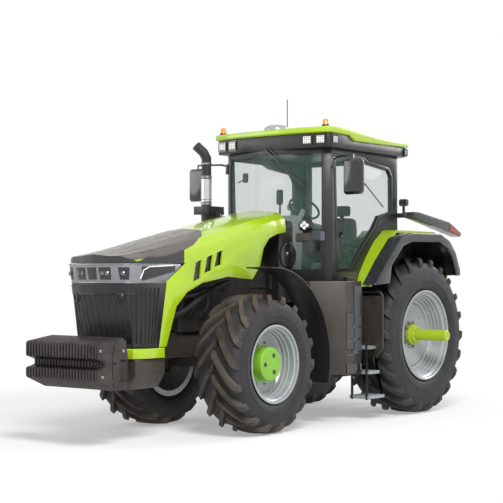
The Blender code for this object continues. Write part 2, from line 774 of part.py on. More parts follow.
def hood():
    """The painted shell: a crowned loft whose nose is rounded in plan and whose sides follow the wheel arch."""
    width = HOOD_HALF_WIDTH
    rise = HOOD_REAR_TOP - HOOD_NOSE_TOP
    stations = [  # y, half width, shoulder height, crown height
        (FRONT_AXLE_Y - 1.85, width - 0.10, 1.90, HOOD_NOSE_TOP - 0.03),
        (FRONT_AXLE_Y - 1.66, width - 0.06, 1.915, HOOD_NOSE_TOP),
        (FRONT_AXLE_Y - 1.10, width - 0.04, 1.98, HOOD_NOSE_TOP + 0.22 * rise),
        (FRONT_AXLE_Y - 0.30, width - 0.01, 2.13, HOOD_NOSE_TOP + 0.54 * rise),
        (HOOD_REAR_Y - 0.53, width, 2.34, HOOD_NOSE_TOP + 0.82 * rise),
        (HOOD_REAR_Y + 0.05, width, 2.45, HOOD_REAR_TOP + 0.01),
    ]
    mesh = bpy.data.meshes.new("hood")
    shape = bmesh.new()
    rows = []
    for y, half, shoulder, crown in stations:
        section = [
            (half, BAR_TOP - 0.05),
            (half, shoulder - 0.12),
            (half - 0.02, shoulder - 0.02),
            (half - 0.10, shoulder + 0.5 * (crown - shoulder)),
            (0.5 * half, crown - 0.02),
            (0, crown),
        ]
        rows.append([shape.verts.new((x, y, z)) for x, z in section])
    for back, front in zip(rows[1:], rows[:-1]):
        for i in range(len(back) - 1):
            shape.faces.new((back[i], back[i + 1], front[i + 1], front[i]))
    bmesh.ops.recalc_face_normals(shape, faces=shape.faces)
    if sum(face.normal.z * face.calc_area() for face in shape.faces) < 0:
        bmesh.ops.reverse_faces(shape, faces=shape.faces)
    shape.to_mesh(mesh)
    shape.free()
    shell = place("hood", mesh)
    mirror = shell.modifiers.new("both sides", "MIRROR")
    mirror.merge_threshold = 0.0001
    wall = shell.modifiers.new("sheet", "SOLIDIFY")
    wall.thickness = HOOD_WALL
    wall.offset = -1
    side_cut = plate("hood_side_outline", [hood_side()], "X", -1.0, 1.0)
    nose = [(0.7, HOOD_REAR_Y + 0.2), (0.7, FRONT_AXLE_Y - 1.40)]
    nose += [(x + 0.01 if x else 0, FRONT_AXLE_Y + y) for x, y in NOSE_HALF]
    plan_cut = plate("hood_plan_outline", [mirrored(nose)], "Z", 0.5, 3.0)
    kept_inside(shell, side_cut, plan_cut)
    for i, (y, z, length) in enumerate(((-0.65, 1.79, 0.26), (-0.47, 1.865, 0.22), (-0.305, 1.925, 0.20))):
        slot = [(-0.065, -0.43 * length), (0.05, -0.30 * length), (0.075, 0.50 * length), (-0.02, 0.37 * length)]
        outline = [(FRONT_AXLE_Y + y + dy, z + dz) for dy, dz in slot]
        cut(shell, plate(f"vent_{i + 1}", [outline], "X", -1.0, 1.0))
    return finished(shell, "green_paint")


def nose_ring(name, thickness, bottom, top):
    """A band round the nose that leans forward as it rises."""
    base = [(x, FRONT_AXLE_Y + y + 0.125) for x, y in NOSE_HALF]
    rear_y = FRONT_AXLE_Y - 0.75
    outer = mirrored([(0.47, rear_y)] + base)
    inner = mirrored([(0.47 - thickness, rear_y - 0.001)] + inset(outer, thickness)[1 : len(base) + 1])
    ring = plate(name, [outer], "Z", bottom, top)
    lean = Matrix.Identity(4)
    lean[1][2] = GRILLE_LEAN
    lean[1][3] = -GRILLE_LEAN * BAR_TOP
    ring.data.transform(lean)
    inner = [(x, y + (0.1 if y > rear_y - 0.01 else 0)) for x, y in inner]
    hollow = plate(name + "_hollow", [inner], "Z", bottom - 0.1, top + 0.1)
    hollow.data.transform(lean)
    return cut(ring, hollow)


def grille():
    side = [
        (-1.95, BAR_TOP + CLEARANCE),
        (-1.25 - CLEARANCE, BAR_TOP + CLEARANCE),
        (-1.131 - CLEARANCE, BAND_BOTTOM - GAP),
        (-1.95, BAND_BOTTOM - GAP),
    ]
    outline = [(FRONT_AXLE_Y + y, z) for y, z in side]
    ring = nose_ring("grille", 0.04, BAR_TOP + CLEARANCE, BAND_BOTTOM - GAP)
    return finished(kept_inside(ring, plate("grille_side", [outline], "X", -1.0, 1.0)), "dark_plastic")


def headlamp_band():
    side = [
        (-1.95, BAND_BOTTOM),
        (-1.137, BAND_BOTTOM),
        (-1.137, 1.689),
        (-0.86, BAND_TOP - 0.002),
        (-1.95, BAND_TOP - 0.002),
    ]
    outline = [(FRONT_AXLE_Y + y, z) for y, z in side]
    ring = nose_ring("headlamp_band", 0.06, BAND_BOTTOM, BAND_TOP)
    return finished(kept_inside(ring, plate("band_side", [outline], "X", -1.0, 1.0)), "dark_plastic")


def cowl():
    """The housing between the engine and the cab."""
    body = box("cowl", (-0.40, COWL_FRONT_Y, 1.42), (0.40, COWL_REAR_Y, HOOD_REAR_TOP - 0.13))
    neck = box(
        "cowl_neck",
        (-TRANSMISSION_HALF_WIDTH + 0.01, COWL_FRONT_Y + 0.01, TRANSMISSION_TOP + GAP),
        (TRANSMISSION_HALF_WIDTH - 0.01, COWL_REAR_Y - 0.03, 1.46),
    )
    return finished(joined(bevelled(body, 0.03), neck), "dark_plastic")


def exhaust():
    """Filter canister, its cover box and the stack with its turned tip, carried by the cowl."""
    x, canister_y, stack_y = -HOOD_HALF_WIDTH - 0.20, COWL_FRONT_Y + 0.04, COWL_FRONT_Y - 0.06
    canister_bottom, canister_top = 1.72, 2.50
    canister = cylinder("exhaust", (x, canister_y), 0.13, canister_bottom, canister_top + 0.02, "Z", 20)
    cover = box(
        "exhaust_cover", (x - 0.12, stack_y - 0.10, canister_top), (x + 0.12, canister_y + 0.10, canister_top + 0.10)
    )
    stack = tube(
        "exhaust_stack",
        [
            (x, stack_y, canister_top + 0.05),
            (x, stack_y, 3.20),
            (x - 0.03, stack_y - 0.02, 3.27),
            (x - 0.11, stack_y - 0.07, 3.36),
        ],
        0.062,
    )
    bracket = box(
        "exhaust_bracket", (x + 0.08, canister_y - 0.03, 2.00), (-0.40 - GAP, canister_y + 0.03, 2.10)
    )
    return finished(joined(canister, cover, stack, bracket), "dark_plastic")


# ---------------------------------------------------------------- cab
def cab_plan():
    """The cab's outline from above: straight sides, a bowed front and cut rear corners."""
    half = [
        (CAB_HALF_WIDTH - 0.12, REAR_AXLE_Y + 0.05),
        (CAB_HALF_WIDTH, REAR_AXLE_Y - 0.05),
        (CAB_HALF_WIDTH, REAR_AXLE_Y - 1.55),
        (CAB_HALF_WIDTH - 0.08, REAR_AXLE_Y - 1.61),
        (0.42, REAR_AXLE_Y - 1.70),
        (0.16, REAR_AXLE_Y - 1.745),
    ]
    return mirrored(half)


def over_rear_tyre(points):
    """Points given from the rear axle, as shares of the fender's reach."""
    return [(REAR_AXLE_Y + y * REAR_FENDER_REACH, REAR_AXLE_Z + z * REAR_FENDER_REACH) for y, z in points]


def fender_outline():
    return over_rear_tyre(
        [
            (-0.857, 0.521),
            (-0.790, 0.672),
            (-0.676, 0.824),
            (-0.521, 0.992),
            (-0.336, 1.118),
            (0.462, 1.118),
            (0.605, 1.025),
            (0.706, 0.857),
            (0.756, 0.672),
            (0.756, 0.521),
        ]
    )


def run_down(outline, depth):
    """An arch's outline with its two feet taken further down."""
    first, last = outline[0], outline[-1]
    return [(first[0], first[1] - depth)] + outline + [(last[0], last[1] - depth)]


def door_outline():
    """The door from the side."""
    upper = [  # y from the rear axle, z
        (-1.445, CAB_FLOOR + 0.20),
        (-1.50, CAB_CEILING - 0.055),
        (-0.84, CAB_CEILING - 0.055),
        (-0.73, CAB_CEILING - 0.10),
        (-0.24, CAB_CEILING - 0.15),
        (-0.155, CAB_CEILING - 0.26),
    ]
    lower = over_rear_tyre([(-0.126, 1.294), (-0.404, 1.235), (-0.504, 1.109), (-0.790, 0.849), (-0.924, 0.689)])
    return [(REAR_AXLE_Y + y, z) for y, z in upper] + lower


DOOR_FRAME = 0.045
DOOR_GAP = 0.010
WINDSHIELD_HALF_WIDTH = CAB_HALF_WIDTH - 0.10
WINDSHIELD_BOTTOM = 1.82
WINDSHIELD_TOP = CAB_CEILING - 0.06
REAR_WINDOW_BOTTOM = 1.95


def cab_ring(name, outer_inset, thickness):
    """A wall that follows the cab's outline from the floor to the ceiling."""
    outer = inset(cab_plan(), outer_inset) if outer_inset else cab_plan()
    ring = plate(name, [outer, inset(cab_plan(), outer_inset + thickness)], "Z", CAB_FLOOR + GAP, CAB_CEILING - GAP)
    return ring


def glass_pane(name, *openings):
    """Glass in the middle of the cab's wall, kept inside an opening."""
    return finished(kept_inside(cab_ring(name, (CAB_WALL - GLASS) / 2, GLASS), *openings), "tinted_glass")


def fender_clearance_cutters(prefix):
    outline = run_down(inset(fender_outline(), -GAP), 0.5)
    cutters = []
    for word, side in SIDES.items():
        low, high = beside(FENDER_INNER_WALL_X - GAP, REAR_FENDER_OUTER_X + 0.3, side)
        cutters.append(plate(f"{prefix}_{word}", [outline], "X", low, high))
    return cutters


def front_opening(name, gap):
    return box(
        name,
        (-WINDSHIELD_HALF_WIDTH + gap, REAR_AXLE_Y - 2.2, WINDSHIELD_BOTTOM + gap),
        (WINDSHIELD_HALF_WIDTH - gap, REAR_AXLE_Y - 1.2, WINDSHIELD_TOP - gap),
    )


def rear_opening(name, gap):
    narrow, wide = FENDER_INNER_WALL_X - 0.05, 0.62
    half = [
        (narrow, REAR_WINDOW_BOTTOM),
        (narrow, FENDER_TOP + 0.06),
        (wide, FENDER_TOP + 0.06),
        (wide, WINDSHIELD_TOP),
    ]
    return plate(name, [inset(mirrored(half), gap)], "Y", REAR_AXLE_Y - 0.4, REAR_AXLE_Y + 0.4)


def side_opening(name, side, shrink):
    low, high = beside(CAB_HALF_WIDTH - 0.3, CAB_HALF_WIDTH + 0.2, side)
    outline = inset(door_outline(), shrink) if shrink else door_outline()
    return plate(name, [outline], "X", low, high)


def cab_frame():
    """Sills, pillars and header, left by the openings in the cab's wall."""
    frame = cab_ring("cab_frame", 0, CAB_WALL)
    cut(
        frame,
        *fender_clearance_cutters("cab_over_fender"),
        front_opening("windshield_opening", 0),
        rear_opening("rear_window_opening", 0),
        side_opening("door_opening", 1, -DOOR_GAP),
        side_opening("right_window_opening", -1, 0.02),
    )
    return finished(frame, "dark_plastic")


def door_frame():
    frame = cab_ring("door_frame", 0, CAB_WALL)
    kept_inside(frame, side_opening("door_edge", 1, 0))
    cut(frame, side_opening("door_pane_edge", 1, DOOR_FRAME))
    return finished(frame, "dark_plastic")


def door_glass():
    return glass_pane("door_glass", side_opening("door_pane", 1, DOOR_FRAME + GAP))


def windshield():
    return glass_pane("windshield", front_opening("windshield_pane", GAP))


def rear_window():
    return glass_pane("rear_window", rear_opening("rear_pane", GAP))


def right_window():
    return glass_pane("right_window", side_opening("right_pane", -1, 0.02 + GAP))


def cab_floor():
    half = [
        (FENDER_INNER_WALL_X - GAP, REAR_AXLE_Y + 0.05),
        (FENDER_INNER_WALL_X - GAP, REAR_AXLE_Y - 0.98),
        (CAB_HALF_WIDTH, REAR_AXLE_Y - 1.03),
        (CAB_HALF_WIDTH, REAR_AXLE_Y - 1.55),
        (CAB_HALF_WIDTH - 0.08, REAR_AXLE_Y - 1.61),
        (0.42, REAR_AXLE_Y - 1.70),
    ]
    floor = plate("cab_floor", [mirrored(half)], "Z", CAB_FLOOR - FLOOR_THICKNESS, CAB_FLOOR)
    tunnel = box(
        "cab_mounts",
        (-TRANSMISSION_HALF_WIDTH, COWL_REAR_Y + 0.30, TRANSMISSION_TOP + GAP),
        (TRANSMISSION_HALF_WIDTH, AXLE_HOUSING_FRONT_Y - 0.10, CAB_FLOOR - FLOOR_THICKNESS + 0.02),
    )
    return finished(joined(floor, tunnel), "dark_plastic")


def roof_plan(side_x, front_y, rear_y):
    half = [
        (side_x - 0.10, rear_y),
        (side_x, rear_y - 0.08),
        (side_x, front_y + 0.07),
        (side_x - 0.03, front_y + 0.03),
        (0.43, front_y - 0.03),
    ]
    return mirrored(half)


ROOF_SEAM = ((-2.0, 0.0), (-1.29, -0.015), (-1.17, -0.075), (0.40, -0.058))  # y from the rear axle, z from ROOF_EDGE
ROOF_FALL = ((-2.0, 0.0), (-1.30, 0.0), (0.40, -0.07))  # y from the rear axle, z from ROOF_TOP


def roof():
    """The painted cap: it is deeper along the rear of its sides, and falls towards the back."""
    low = [(REAR_AXLE_Y + y, ROOF_EDGE + z) for y, z in ROOF_SEAM]
    top = [(REAR_AXLE_Y + y, ROOF_TOP + z) for y, z in ROOF_FALL]
    cap = plate("roof", [roof_plan(0.895, REAR_AXLE_Y - 1.75, REAR_AXLE_Y + 0.16)], "Z", CAB_CEILING, ROOF_TOP + 0.1)
    kept_inside(cap, plate("roof_side", [low + top[::-1]], "X", -1.2, 1.2))
    return finished(bevelled(cap, 0.015), "green_paint")


def roof_visor():
    low = [(REAR_AXLE_Y + y, ROOF_EDGE + z - GAP) for y, z in ROOF_SEAM]
    side = [(low[0][0], CAB_CEILING)] + low + [(low[-1][0], CAB_CEILING)]
    plan = roof_plan(0.87, REAR_AXLE_Y - 1.72, REAR_AXLE_Y + 0.12)
    visor = plate("roof_visor", [plan], "Z", CAB_CEILING, ROOF_EDGE + 0.1)
    kept_inside(visor, plate("visor_side", [side], "X", -1.2, 1.2))
    return finished(visor, "dark_plastic")


SEAT_FRONT_Y = REAR_AXLE_Y - 0.72
SEAT_REAR_Y = REAR_AXLE_Y - 0.10
SEAT_BASE_TOP = 1.94


def seat_base():
    pedestal = box(
        "seat_base",
        (-0.19, SEAT_FRONT_Y + 0.12, CAB_FLOOR + GAP),
        (0.19, SEAT_REAR_Y - 0.10, SEAT_BASE_TOP - GAP),
    )
    return finished(bevelled(pedestal, 0.02), "dark_plastic")


def seat_cushion():
    """Cushion and backrest as one closed form."""
    outline = [
        (SEAT_FRONT_Y, SEAT_BASE_TOP),
        (SEAT_FRONT_Y - 0.01, SEAT_BASE_TOP + 0.11),
        (SEAT_REAR_Y - 0.16, SEAT_BASE_TOP + 0.14),
        (SEAT_REAR_Y - 0.10, 2.68),
        (SEAT_REAR_Y, 2.66),
        (SEAT_REAR_Y - 0.04, SEAT_BASE_TOP),
    ]
    return finished(bevelled(plate("seat_cushion", [outline], "X", -0.25, 0.25), 0.025), "seat_cloth")


STEERING_CENTRE = Vector((0, REAR_AXLE_Y - 1.0, 2.60))
STEERING_TILT = math.radians(-38)


def steering_console():
    outline = [
        (REAR_AXLE_Y - 1.52, CAB_FLOOR + GAP),
        (REAR_AXLE_Y - 1.52, 2.10),
        (REAR_AXLE_Y - 1.36, 2.50),
        (REAR_AXLE_Y - 1.20, 2.44),
        (REAR_AXLE_Y - 1.26, CAB_FLOOR + GAP),
    ]
    console = plate("steering_console", [outline], "X", -0.13, 0.13)
    direction = Matrix.Rotation(STEERING_TILT, 3, "X") @ Vector((0, 0, -1))
    foot = STEERING_CENTRE + direction * 0.48
    head = STEERING_CENTRE + direction * (0.03 + GAP)
    return finished(joined(console, tube("steering_column", [foot, head], 0.035)), "dark_plastic")


def steering_wheel():
    rim_radius, rim_thickness, hub_radius = 0.20, 0.015, 0.05
    mesh = bpy.data.meshes.new("steering_wheel")
    shape = bmesh.new()
    bmesh.ops.create_circle(shape, segments=8, radius=rim_thickness)
    bmesh.ops.transform(
        shape,
        matrix=Matrix.Translation((rim_radius, 0, 0)) @ Matrix.Rotation(math.pi / 2, 4, "X"),
        verts=shape.verts,
    )
    shape.to_mesh(mesh)
    shape.free()
    wheel = place("steering_wheel", mesh)
    screw = wheel.modifiers.new("turned", "SCREW")
    screw.steps = screw.render_steps = 24
    screw.use_merge_vertices = True
    screw.merge_threshold = 0.0001
    hub = cylinder("steering_hub", (0, 0), hub_radius, -0.03, 0.02, "Z", 12)
    helpers = [hub]
    for i in range(3):
        angle = math.radians(90 + 120 * i)
        reach = (rim_radius * math.cos(angle), rim_radius * math.sin(angle), 0)
        helpers.append(tube(f"steering_spoke_{i + 1}", [(0, 0, 0), reach], 0.011))
    joined(wheel, *helpers)
    for piece in (wheel, *helpers):
        piece.matrix_world = Matrix.Translation(STEERING_CENTRE) @ Matrix.Rotation(STEERING_TILT, 4, "X")
    return finished(wheel, "dark_plastic")


# ---------------------------------------------------------------- fenders, tanks, steps
def rear_fender(name, side):
    """Painted arch with the wall that closes it towards the cab."""
    low, high = beside(FENDER_INNER_WALL_X, REAR_FENDER_OUTER_X, side)
    arch = plate(name, [fender_outline()], "X", low, high)
    hollow = run_down(inset(fender_outline(), 0.03), 0.2)
    low, high = beside(FENDER_INNER_WALL_X + 0.02, REAR_FENDER_OUTER_X + 0.1, side)
    return finished(cut(arch, plate(name + "_hollow", [hollow], "X", low, high)), "green_paint")


def flare_outline():
    return over_rear_tyre(
        [
            (-1.008, 0.538),
            (-0.760, 0.798),
            (-0.504, 1.029),
            (-0.294, 1.084),
            (0.319, 1.092),
            (0.513, 1.017),
            (0.645, 0.891),
            (0.744, 0.702),
            (0.748, 0.639),
        ]
    )


def band_inside(outline, thickness):
    """The line at a depth below an open arch, run on past its two feet."""
    inner = inset(outline, thickness)
    first, last = inner[0], inner[-1]
    return [(first[0] + 0.03, first[1] - 0.3)] + inner[1:-1] + [(last[0], last[1] - 0.3)]


def fender_flare(name, side):
    """Grey extension with its deep outer lip."""
    lip, skin = 0.11, 0.025
    low, high = beside(REAR_FENDER_OUTER_X + GAP, FLARE_OUTER_X, side)
    flare = plate(name, [flare_outline()], "X", low, high)
    through_low, through_high = beside(REAR_FENDER_OUTER_X - 0.1, FLARE_OUTER_X + 0.1, side)
    under_lip = plate(name + "_arch", [band_inside(flare_outline(), lip)], "X", through_low, through_high)
    skin_low, skin_high = beside(REAR_FENDER_OUTER_X - 0.1, FLARE_OUTER_X - skin, side)
    under_skin = plate(name + "_skin", [band_inside(flare_outline(), skin)], "X", skin_low, skin_high)
    return finished(cut(flare, under_lip, under_skin), "grey_plastic")


def tail_lamp(name, side):
    """The lamp arm that reaches back from the cab's rear corner."""
    outline = [  # y from the rear axle, z from the top of the fender
        (-0.10, 0.17),
        (-0.08, 0.24),
        (0.06, 0.24),
        (0.82, 0.14),
        (1.15, 0.0),
        (1.12, -0.05),
        (0.78, 0.01),
        (0.06, 0.145),
    ]
    low, high = beside(CAB_HALF_WIDTH + 0.13, CAB_HALF_WIDTH + 0.27, side)
    points = [(REAR_AXLE_Y + y, FENDER_TOP + z) for y, z in outline]
    arm = plate(name, [points], "X", low, high)
    bracket = side_box(
        name + "_bracket",
        side,
        (CAB_HALF_WIDTH + GAP, REAR_AXLE_Y - 0.10, FENDER_TOP + 0.17),
        (CAB_HALF_WIDTH + 0.15, REAR_AXLE_Y - 0.06, FENDER_TOP + 0.23),
    )
    return finished(joined(arm, bracket), "grey_plastic")


def tank(name, side):
    """Side tank: its front corner is cut back for the steered wheel, its top steps round the cab."""
    plan = [
        (TANK_INNER_X, TANK_FRONT_Y),
        (0.64, TANK_FRONT_Y),
        (TANK_OUTER_X, TANK_FRONT_Y + 0.24),
        (TANK_OUTER_X, TANK_REAR_Y),
        (TANK_INNER_X, TANK_REAR_Y),
    ]
    body = plate(name, [[(side * x, y) for x, y in plan]], "Z", TANK_BOTTOM, TANK_TOP)
    cab_notch = plate(
        name + "_cab_notch", [inset(cab_plan(), -0.01)], "Z", CAB_FLOOR - FLOOR_THICKNESS - 0.01, TANK_TOP + 0.1
    )
    cut(body, cab_notch)
    brackets = [
        side_box(
            f"{name}_bracket_{i + 1}",
            side,
            (TRANSMISSION_HALF_WIDTH + GAP, TANK_FRONT_Y + start, 0.72),
            (TANK_INNER_X + 0.02, TANK_FRONT_Y + start + 0.10, 0.84),
        )
        for i, start in enumerate((0.10, 0.44))
    ]
    return finished(joined(body, *brackets), "brown_plastic")


STEP_INNER_X = 0.82
STEP_OUTER_X = 1.10
GUARD_FRONT_Y = REAR_AXLE_Y - REAR_TYRE_RADIUS - 0.045
GUARD_THICKNESS = 0.015
TREADS = ((0.89, 0.0), (0.59, 0.075), (0.29, 0.185))  # top height, how much longer than the top tread


def steps():
    """Three treads between a front plate and two rear bars, hung from the left tank."""
    front_y = TANK_REAR_Y + GAP
    rear_y = GUARD_FRONT_Y - GAP
    thickness = 0.035
    front_bars = [
        box(
            "steps" if i == 0 else "step_front_bar",
            (x, front_y, TREADS[-1][0] - thickness - 0.01),
            (x + 0.03, front_y + 0.014, TREADS[0][0] + 0.03),
        )
        for i, x in enumerate((STEP_INNER_X + 0.02, STEP_OUTER_X - 0.05))
    ]
    first_bar = front_bars.pop(0)
    pieces = front_bars + [
        box(
            f"tread_{i + 1}",
            (STEP_INNER_X, front_y + 0.003, top - thickness),
            (STEP_OUTER_X, rear_y - 0.003 + longer, top),
        )
        for i, (top, longer) in enumerate(TREADS)
    ]
    for i, x in enumerate((STEP_INNER_X + 0.02, STEP_OUTER_X - 0.05)):
        line = [(rear_y, 0.70)] + [(rear_y + longer, top) for top, longer in TREADS[1:]]
        outline = (
            [(rear_y, TREADS[0][0] + 0.03)]
            + line
            + [(line[-1][0], TREADS[-1][0] - thickness - 0.01)]
            + [(line[-1][0] - 0.015, TREADS[-1][0] - thickness - 0.01)]
            + [(y - 0.015, z) for y, z in reversed(line)]
            + [(rear_y - 0.015, TREADS[0][0] + 0.03)]
        )
        pieces.append(plate(f"step_bar_{i + 1}", [outline], "X", x + 0.002, x + 0.028))
    return finished(joined(first_bar, *pieces), "dark_plastic")


def step_guard():
    """The splash panel in front of the rear tyre, edged by the handrail."""
    inner_x = CAB_HALF_WIDTH + 0.04
    outline = [(inner_x, 1.50), (1.19, 1.50), (1.19, 0.88), (1.08, 0.745), (inner_x, 0.745)]
    panel = plate("step_guard", [outline], "Y", GUARD_FRONT_Y, GUARD_FRONT_Y + GUARD_THICKNESS)
    rail_y = GUARD_FRONT_Y + GUARD_THICKNESS / 2 - 0.004
    route = [(inner_x + 0.02, 1.54), (1.16, 1.545), (1.195, 1.50), (1.195, 0.87), (1.10, 0.755)]
    rail = tube("handrail", [(x, rail_y, z) for x, z in route], 0.0115)
    tie = box("guard_tie", (inner_x + 0.02, rail_y - 0.005, 1.49), (inner_x + 0.06, rail_y + 0.005, 1.54))
    return finished(joined(panel, rail, tie), "brown_plastic")


# ---------------------------------------------------------------- mirrors and roof fittings
def mirror_arm(name, side):
    pad_y = REAR_AXLE_Y - 1.56
    pad = side_box(name, side, (CAB_HALF_WIDTH + GAP, pad_y, 3.04), (CAB_HALF_WIDTH + 0.035, pad_y + 0.05, 3.17))
    head_x, head_y = CAB_HALF_WIDTH + 0.40, REAR_AXLE_Y - 1.67
    head = bevelled(
        side_box(name + "_head", side, (head_x - 0.13, head_y - 0.05, 2.70), (head_x + 0.13, head_y + 0.05, 3.12)), 0.03
    )
    route = [
        (CAB_HALF_WIDTH + 0.02, pad_y + 0.025, 3.14),
        (CAB_HALF_WIDTH + 0.10, pad_y, 3.165),
        (head_x, head_y, 3.165),
        (head_x, head_y, 3.08),
    ]
    arm = tube(name + "_tube", [(side * x, y, z) for x, y, z in route], 0.014)
    return finished(joined(pad, arm, head), "dark_plastic")


def beacon(name, side):
    profile = [(0, 0.087), (0.026, 0.087), (0.036, 0.07), (0.038, 0.02), (0.045, 0.0), (0, 0.0)]
    lamp = turned(name, profile, 16, closed=False)
    lamp.location = (side * 0.79, REAR_AXLE_Y - 1.655, ROOF_TOP + GAP)
    return finished(lamp, "amber_lens")


def gps_receiver():
    profile = [(0, 0.08), (0.09, 0.075), (0.14, 0.055), (0.16, 0.02), (0.16, 0.0), (0, 0.0)]
    dome = turned("gps_receiver", profile, 20, closed=False)
    dome.location = (0, REAR_AXLE_Y - 1.58, ROOF_TOP + GAP)
    return finished(dome, "silver_rim")


def antenna():
    return finished(
        cylinder("antenna", (0, REAR_AXLE_Y - 1.36), 0.006, ROOF_TOP + GAP, ANTENNA_TOP, "Z", 8), "dark_plastic"
    )


# ---------------------------------------------------------------- assembly
def pivot(name, where, parent=None):
    """An empty on a joint's axis."""
    empty = bpy.data.objects.new(name, None)
    empty.empty_display_size = 0.1
    PARTS.objects.link(empty)
    empty.location = where
    if parent:
        bpy.context.view_layer.update()
        empty.parent = parent
        empty.matrix_parent_inverse = parent.matrix_world.inverted()
    bpy.context.view_layer.update()
    return empty


def carried_by(empty, *pieces):
    for piece in pieces:
        piece.parent = empty
        piece.matrix_parent_inverse = empty.matrix_world.inverted()


def build():
    for make in (
        front_weights, weight_carrier, front_frame, front_bar, radiator, engine_block, transmission, rear_axle,
        drawbar, front_axle, cowl, exhaust, cab_floor, cab_frame, windshield, rear_window, right_window, roof,
        roof_visor, seat_base, seat_cushion, steering_console, steering_wheel, steps, step_guard, gps_receiver,
        antenna,
    ):
        make()
    carried_by(pivot("hood_hinge", (0, HOOD_HINGE_Y, HOOD_HINGE_Z)), hood(), grille(), headlamp_band())
    carried_by(pivot("door_hinge", (DOOR_HINGE_X, DOOR_HINGE_Y, CAB_FLOOR)), door_frame(), door_glass())
    carried_by(pivot("link_pivot", (0, LINK_PIVOT_Y, LINK_PIVOT_Z)), lower_links())
    for word, side in SIDES.items():
        rear_fender("rear_fender_" + word, side)
        fender_flare("fender_flare_" + word, side)
        tail_lamp("tail_lamp_" + word, side)
        tank("fuel_tank" if side > 0 else "right_tank", side)
        mirror_arm("mirror_" + word, side)
        beacon("beacon_" + word, side)
        kingpin = pivot("kingpin_" + word, (side * KINGPIN_X, FRONT_AXLE_Y, FRONT_AXLE_Z))
        carried_by(kingpin, knuckle("knuckle_" + word, side), front_fender("front_fender_" + word, side))
        front_hub = pivot("front_hub_" + word, (side * FRONT_DISC_X, FRONT_AXLE_Y, FRONT_AXLE_Z), kingpin)
        carried_by(front_hub, front_wheel("front_wheel_" + word, side), front_tyre("front_tyre_" + word, side))
        rear_hub_pivot = pivot("rear_hub_pivot_" + word, (side * REAR_DISC_X, REAR_AXLE_Y, REAR_AXLE_Z))
        carried_by(
            rear_hub_pivot,
            rear_rim("rear_rim_" + word, side),
            rear_tyre("rear_tyre_" + word, side),
            rear_hub("rear_hub_" + word, side),
        )


build()
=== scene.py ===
"""Finishes, details, light and camera for the farm tractor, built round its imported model."""

import json
import math

import bmesh
import bpy
from mathutils import Matrix, Vector
from mathutils.bvhtree import BVHTree

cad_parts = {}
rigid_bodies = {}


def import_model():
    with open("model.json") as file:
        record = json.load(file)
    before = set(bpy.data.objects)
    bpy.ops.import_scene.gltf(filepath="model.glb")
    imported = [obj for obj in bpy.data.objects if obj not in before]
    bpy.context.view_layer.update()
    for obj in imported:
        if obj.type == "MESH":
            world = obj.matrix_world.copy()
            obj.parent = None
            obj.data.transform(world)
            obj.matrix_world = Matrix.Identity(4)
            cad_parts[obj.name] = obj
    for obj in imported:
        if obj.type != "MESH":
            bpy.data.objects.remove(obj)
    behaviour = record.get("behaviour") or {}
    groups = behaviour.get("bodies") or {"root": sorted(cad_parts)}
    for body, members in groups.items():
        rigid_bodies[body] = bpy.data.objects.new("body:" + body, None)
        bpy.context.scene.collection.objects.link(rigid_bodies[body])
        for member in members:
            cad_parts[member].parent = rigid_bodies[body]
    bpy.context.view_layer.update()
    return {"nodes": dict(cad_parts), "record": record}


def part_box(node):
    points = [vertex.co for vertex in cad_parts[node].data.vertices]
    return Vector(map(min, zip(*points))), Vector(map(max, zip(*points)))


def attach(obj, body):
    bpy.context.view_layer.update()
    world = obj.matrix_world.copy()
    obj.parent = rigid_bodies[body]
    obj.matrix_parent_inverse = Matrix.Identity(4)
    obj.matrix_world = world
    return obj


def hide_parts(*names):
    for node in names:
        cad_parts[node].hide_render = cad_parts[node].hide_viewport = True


for left_over in list(bpy.data.objects):
    bpy.data.objects.remove(left_over, do_unlink=True)

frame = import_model()
NODES = frame["nodes"]
BODY_OF = {node: body for body, nodes in frame["record"]["behaviour"]["bodies"].items() for node in nodes}
SIDES = {"left": 1, "right": -1}


def centre_of(node):
    low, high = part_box(node)
    return (low + high) / 2


FRONT_AXLE = centre_of("front_tyre_left").yz
REAR_AXLE = centre_of("rear_tyre_left").yz
FRONT_Y, FRONT_Z = FRONT_AXLE
REAR_Y, REAR_Z = REAR_AXLE


# ---------------------------------------------------------------- finishes
def shader_of(name):
    made = bpy.data.materials.new(name)
    made.use_nodes = True
    return made, made.node_tree, made.node_tree.nodes["Principled BSDF"]


def linked(tree, start, end):
    tree.links.new(start, end)


def noise(tree, scale, detail=4.0, stretch=(1, 1, 1)):
    """Noise on object coordinates, stretched along an axis where asked."""
    where = tree.nodes.new("ShaderNodeTexCoord")
    mapping = tree.nodes.new("ShaderNodeMapping")
    mapping.inputs["Scale"].default_value = stretch
    made = tree.nodes.new("ShaderNodeTexNoise")
    made.inputs["Scale"].default_value = scale
    made.inputs["Detail"].default_value = detail
    linked(tree, where.outputs["Object"], mapping.inputs["Vector"])
    linked(tree, mapping.outputs["Vector"], made.inputs["Vector"])
    return made.outputs["Fac"]


def ramp(tree, value, low, high, start=0.35, end=0.65):
    """Maps noise between two grey values or two colours."""
    made = tree.nodes.new("ShaderNodeValToRGB")
    first, last = made.color_ramp.elements
    first.position, last.position = start, end
    first.color = (*low, 1) if isinstance(low, tuple) else (low, low, low, 1)
    last.color = (*high, 1) if isinstance(high, tuple) else (high, high, high, 1)
    linked(tree, value, made.inputs["Fac"])
    return made.outputs["Color"]


def dimmed(colour, factor):
    return tuple(min(1.0, channel * factor) for channel in colour)


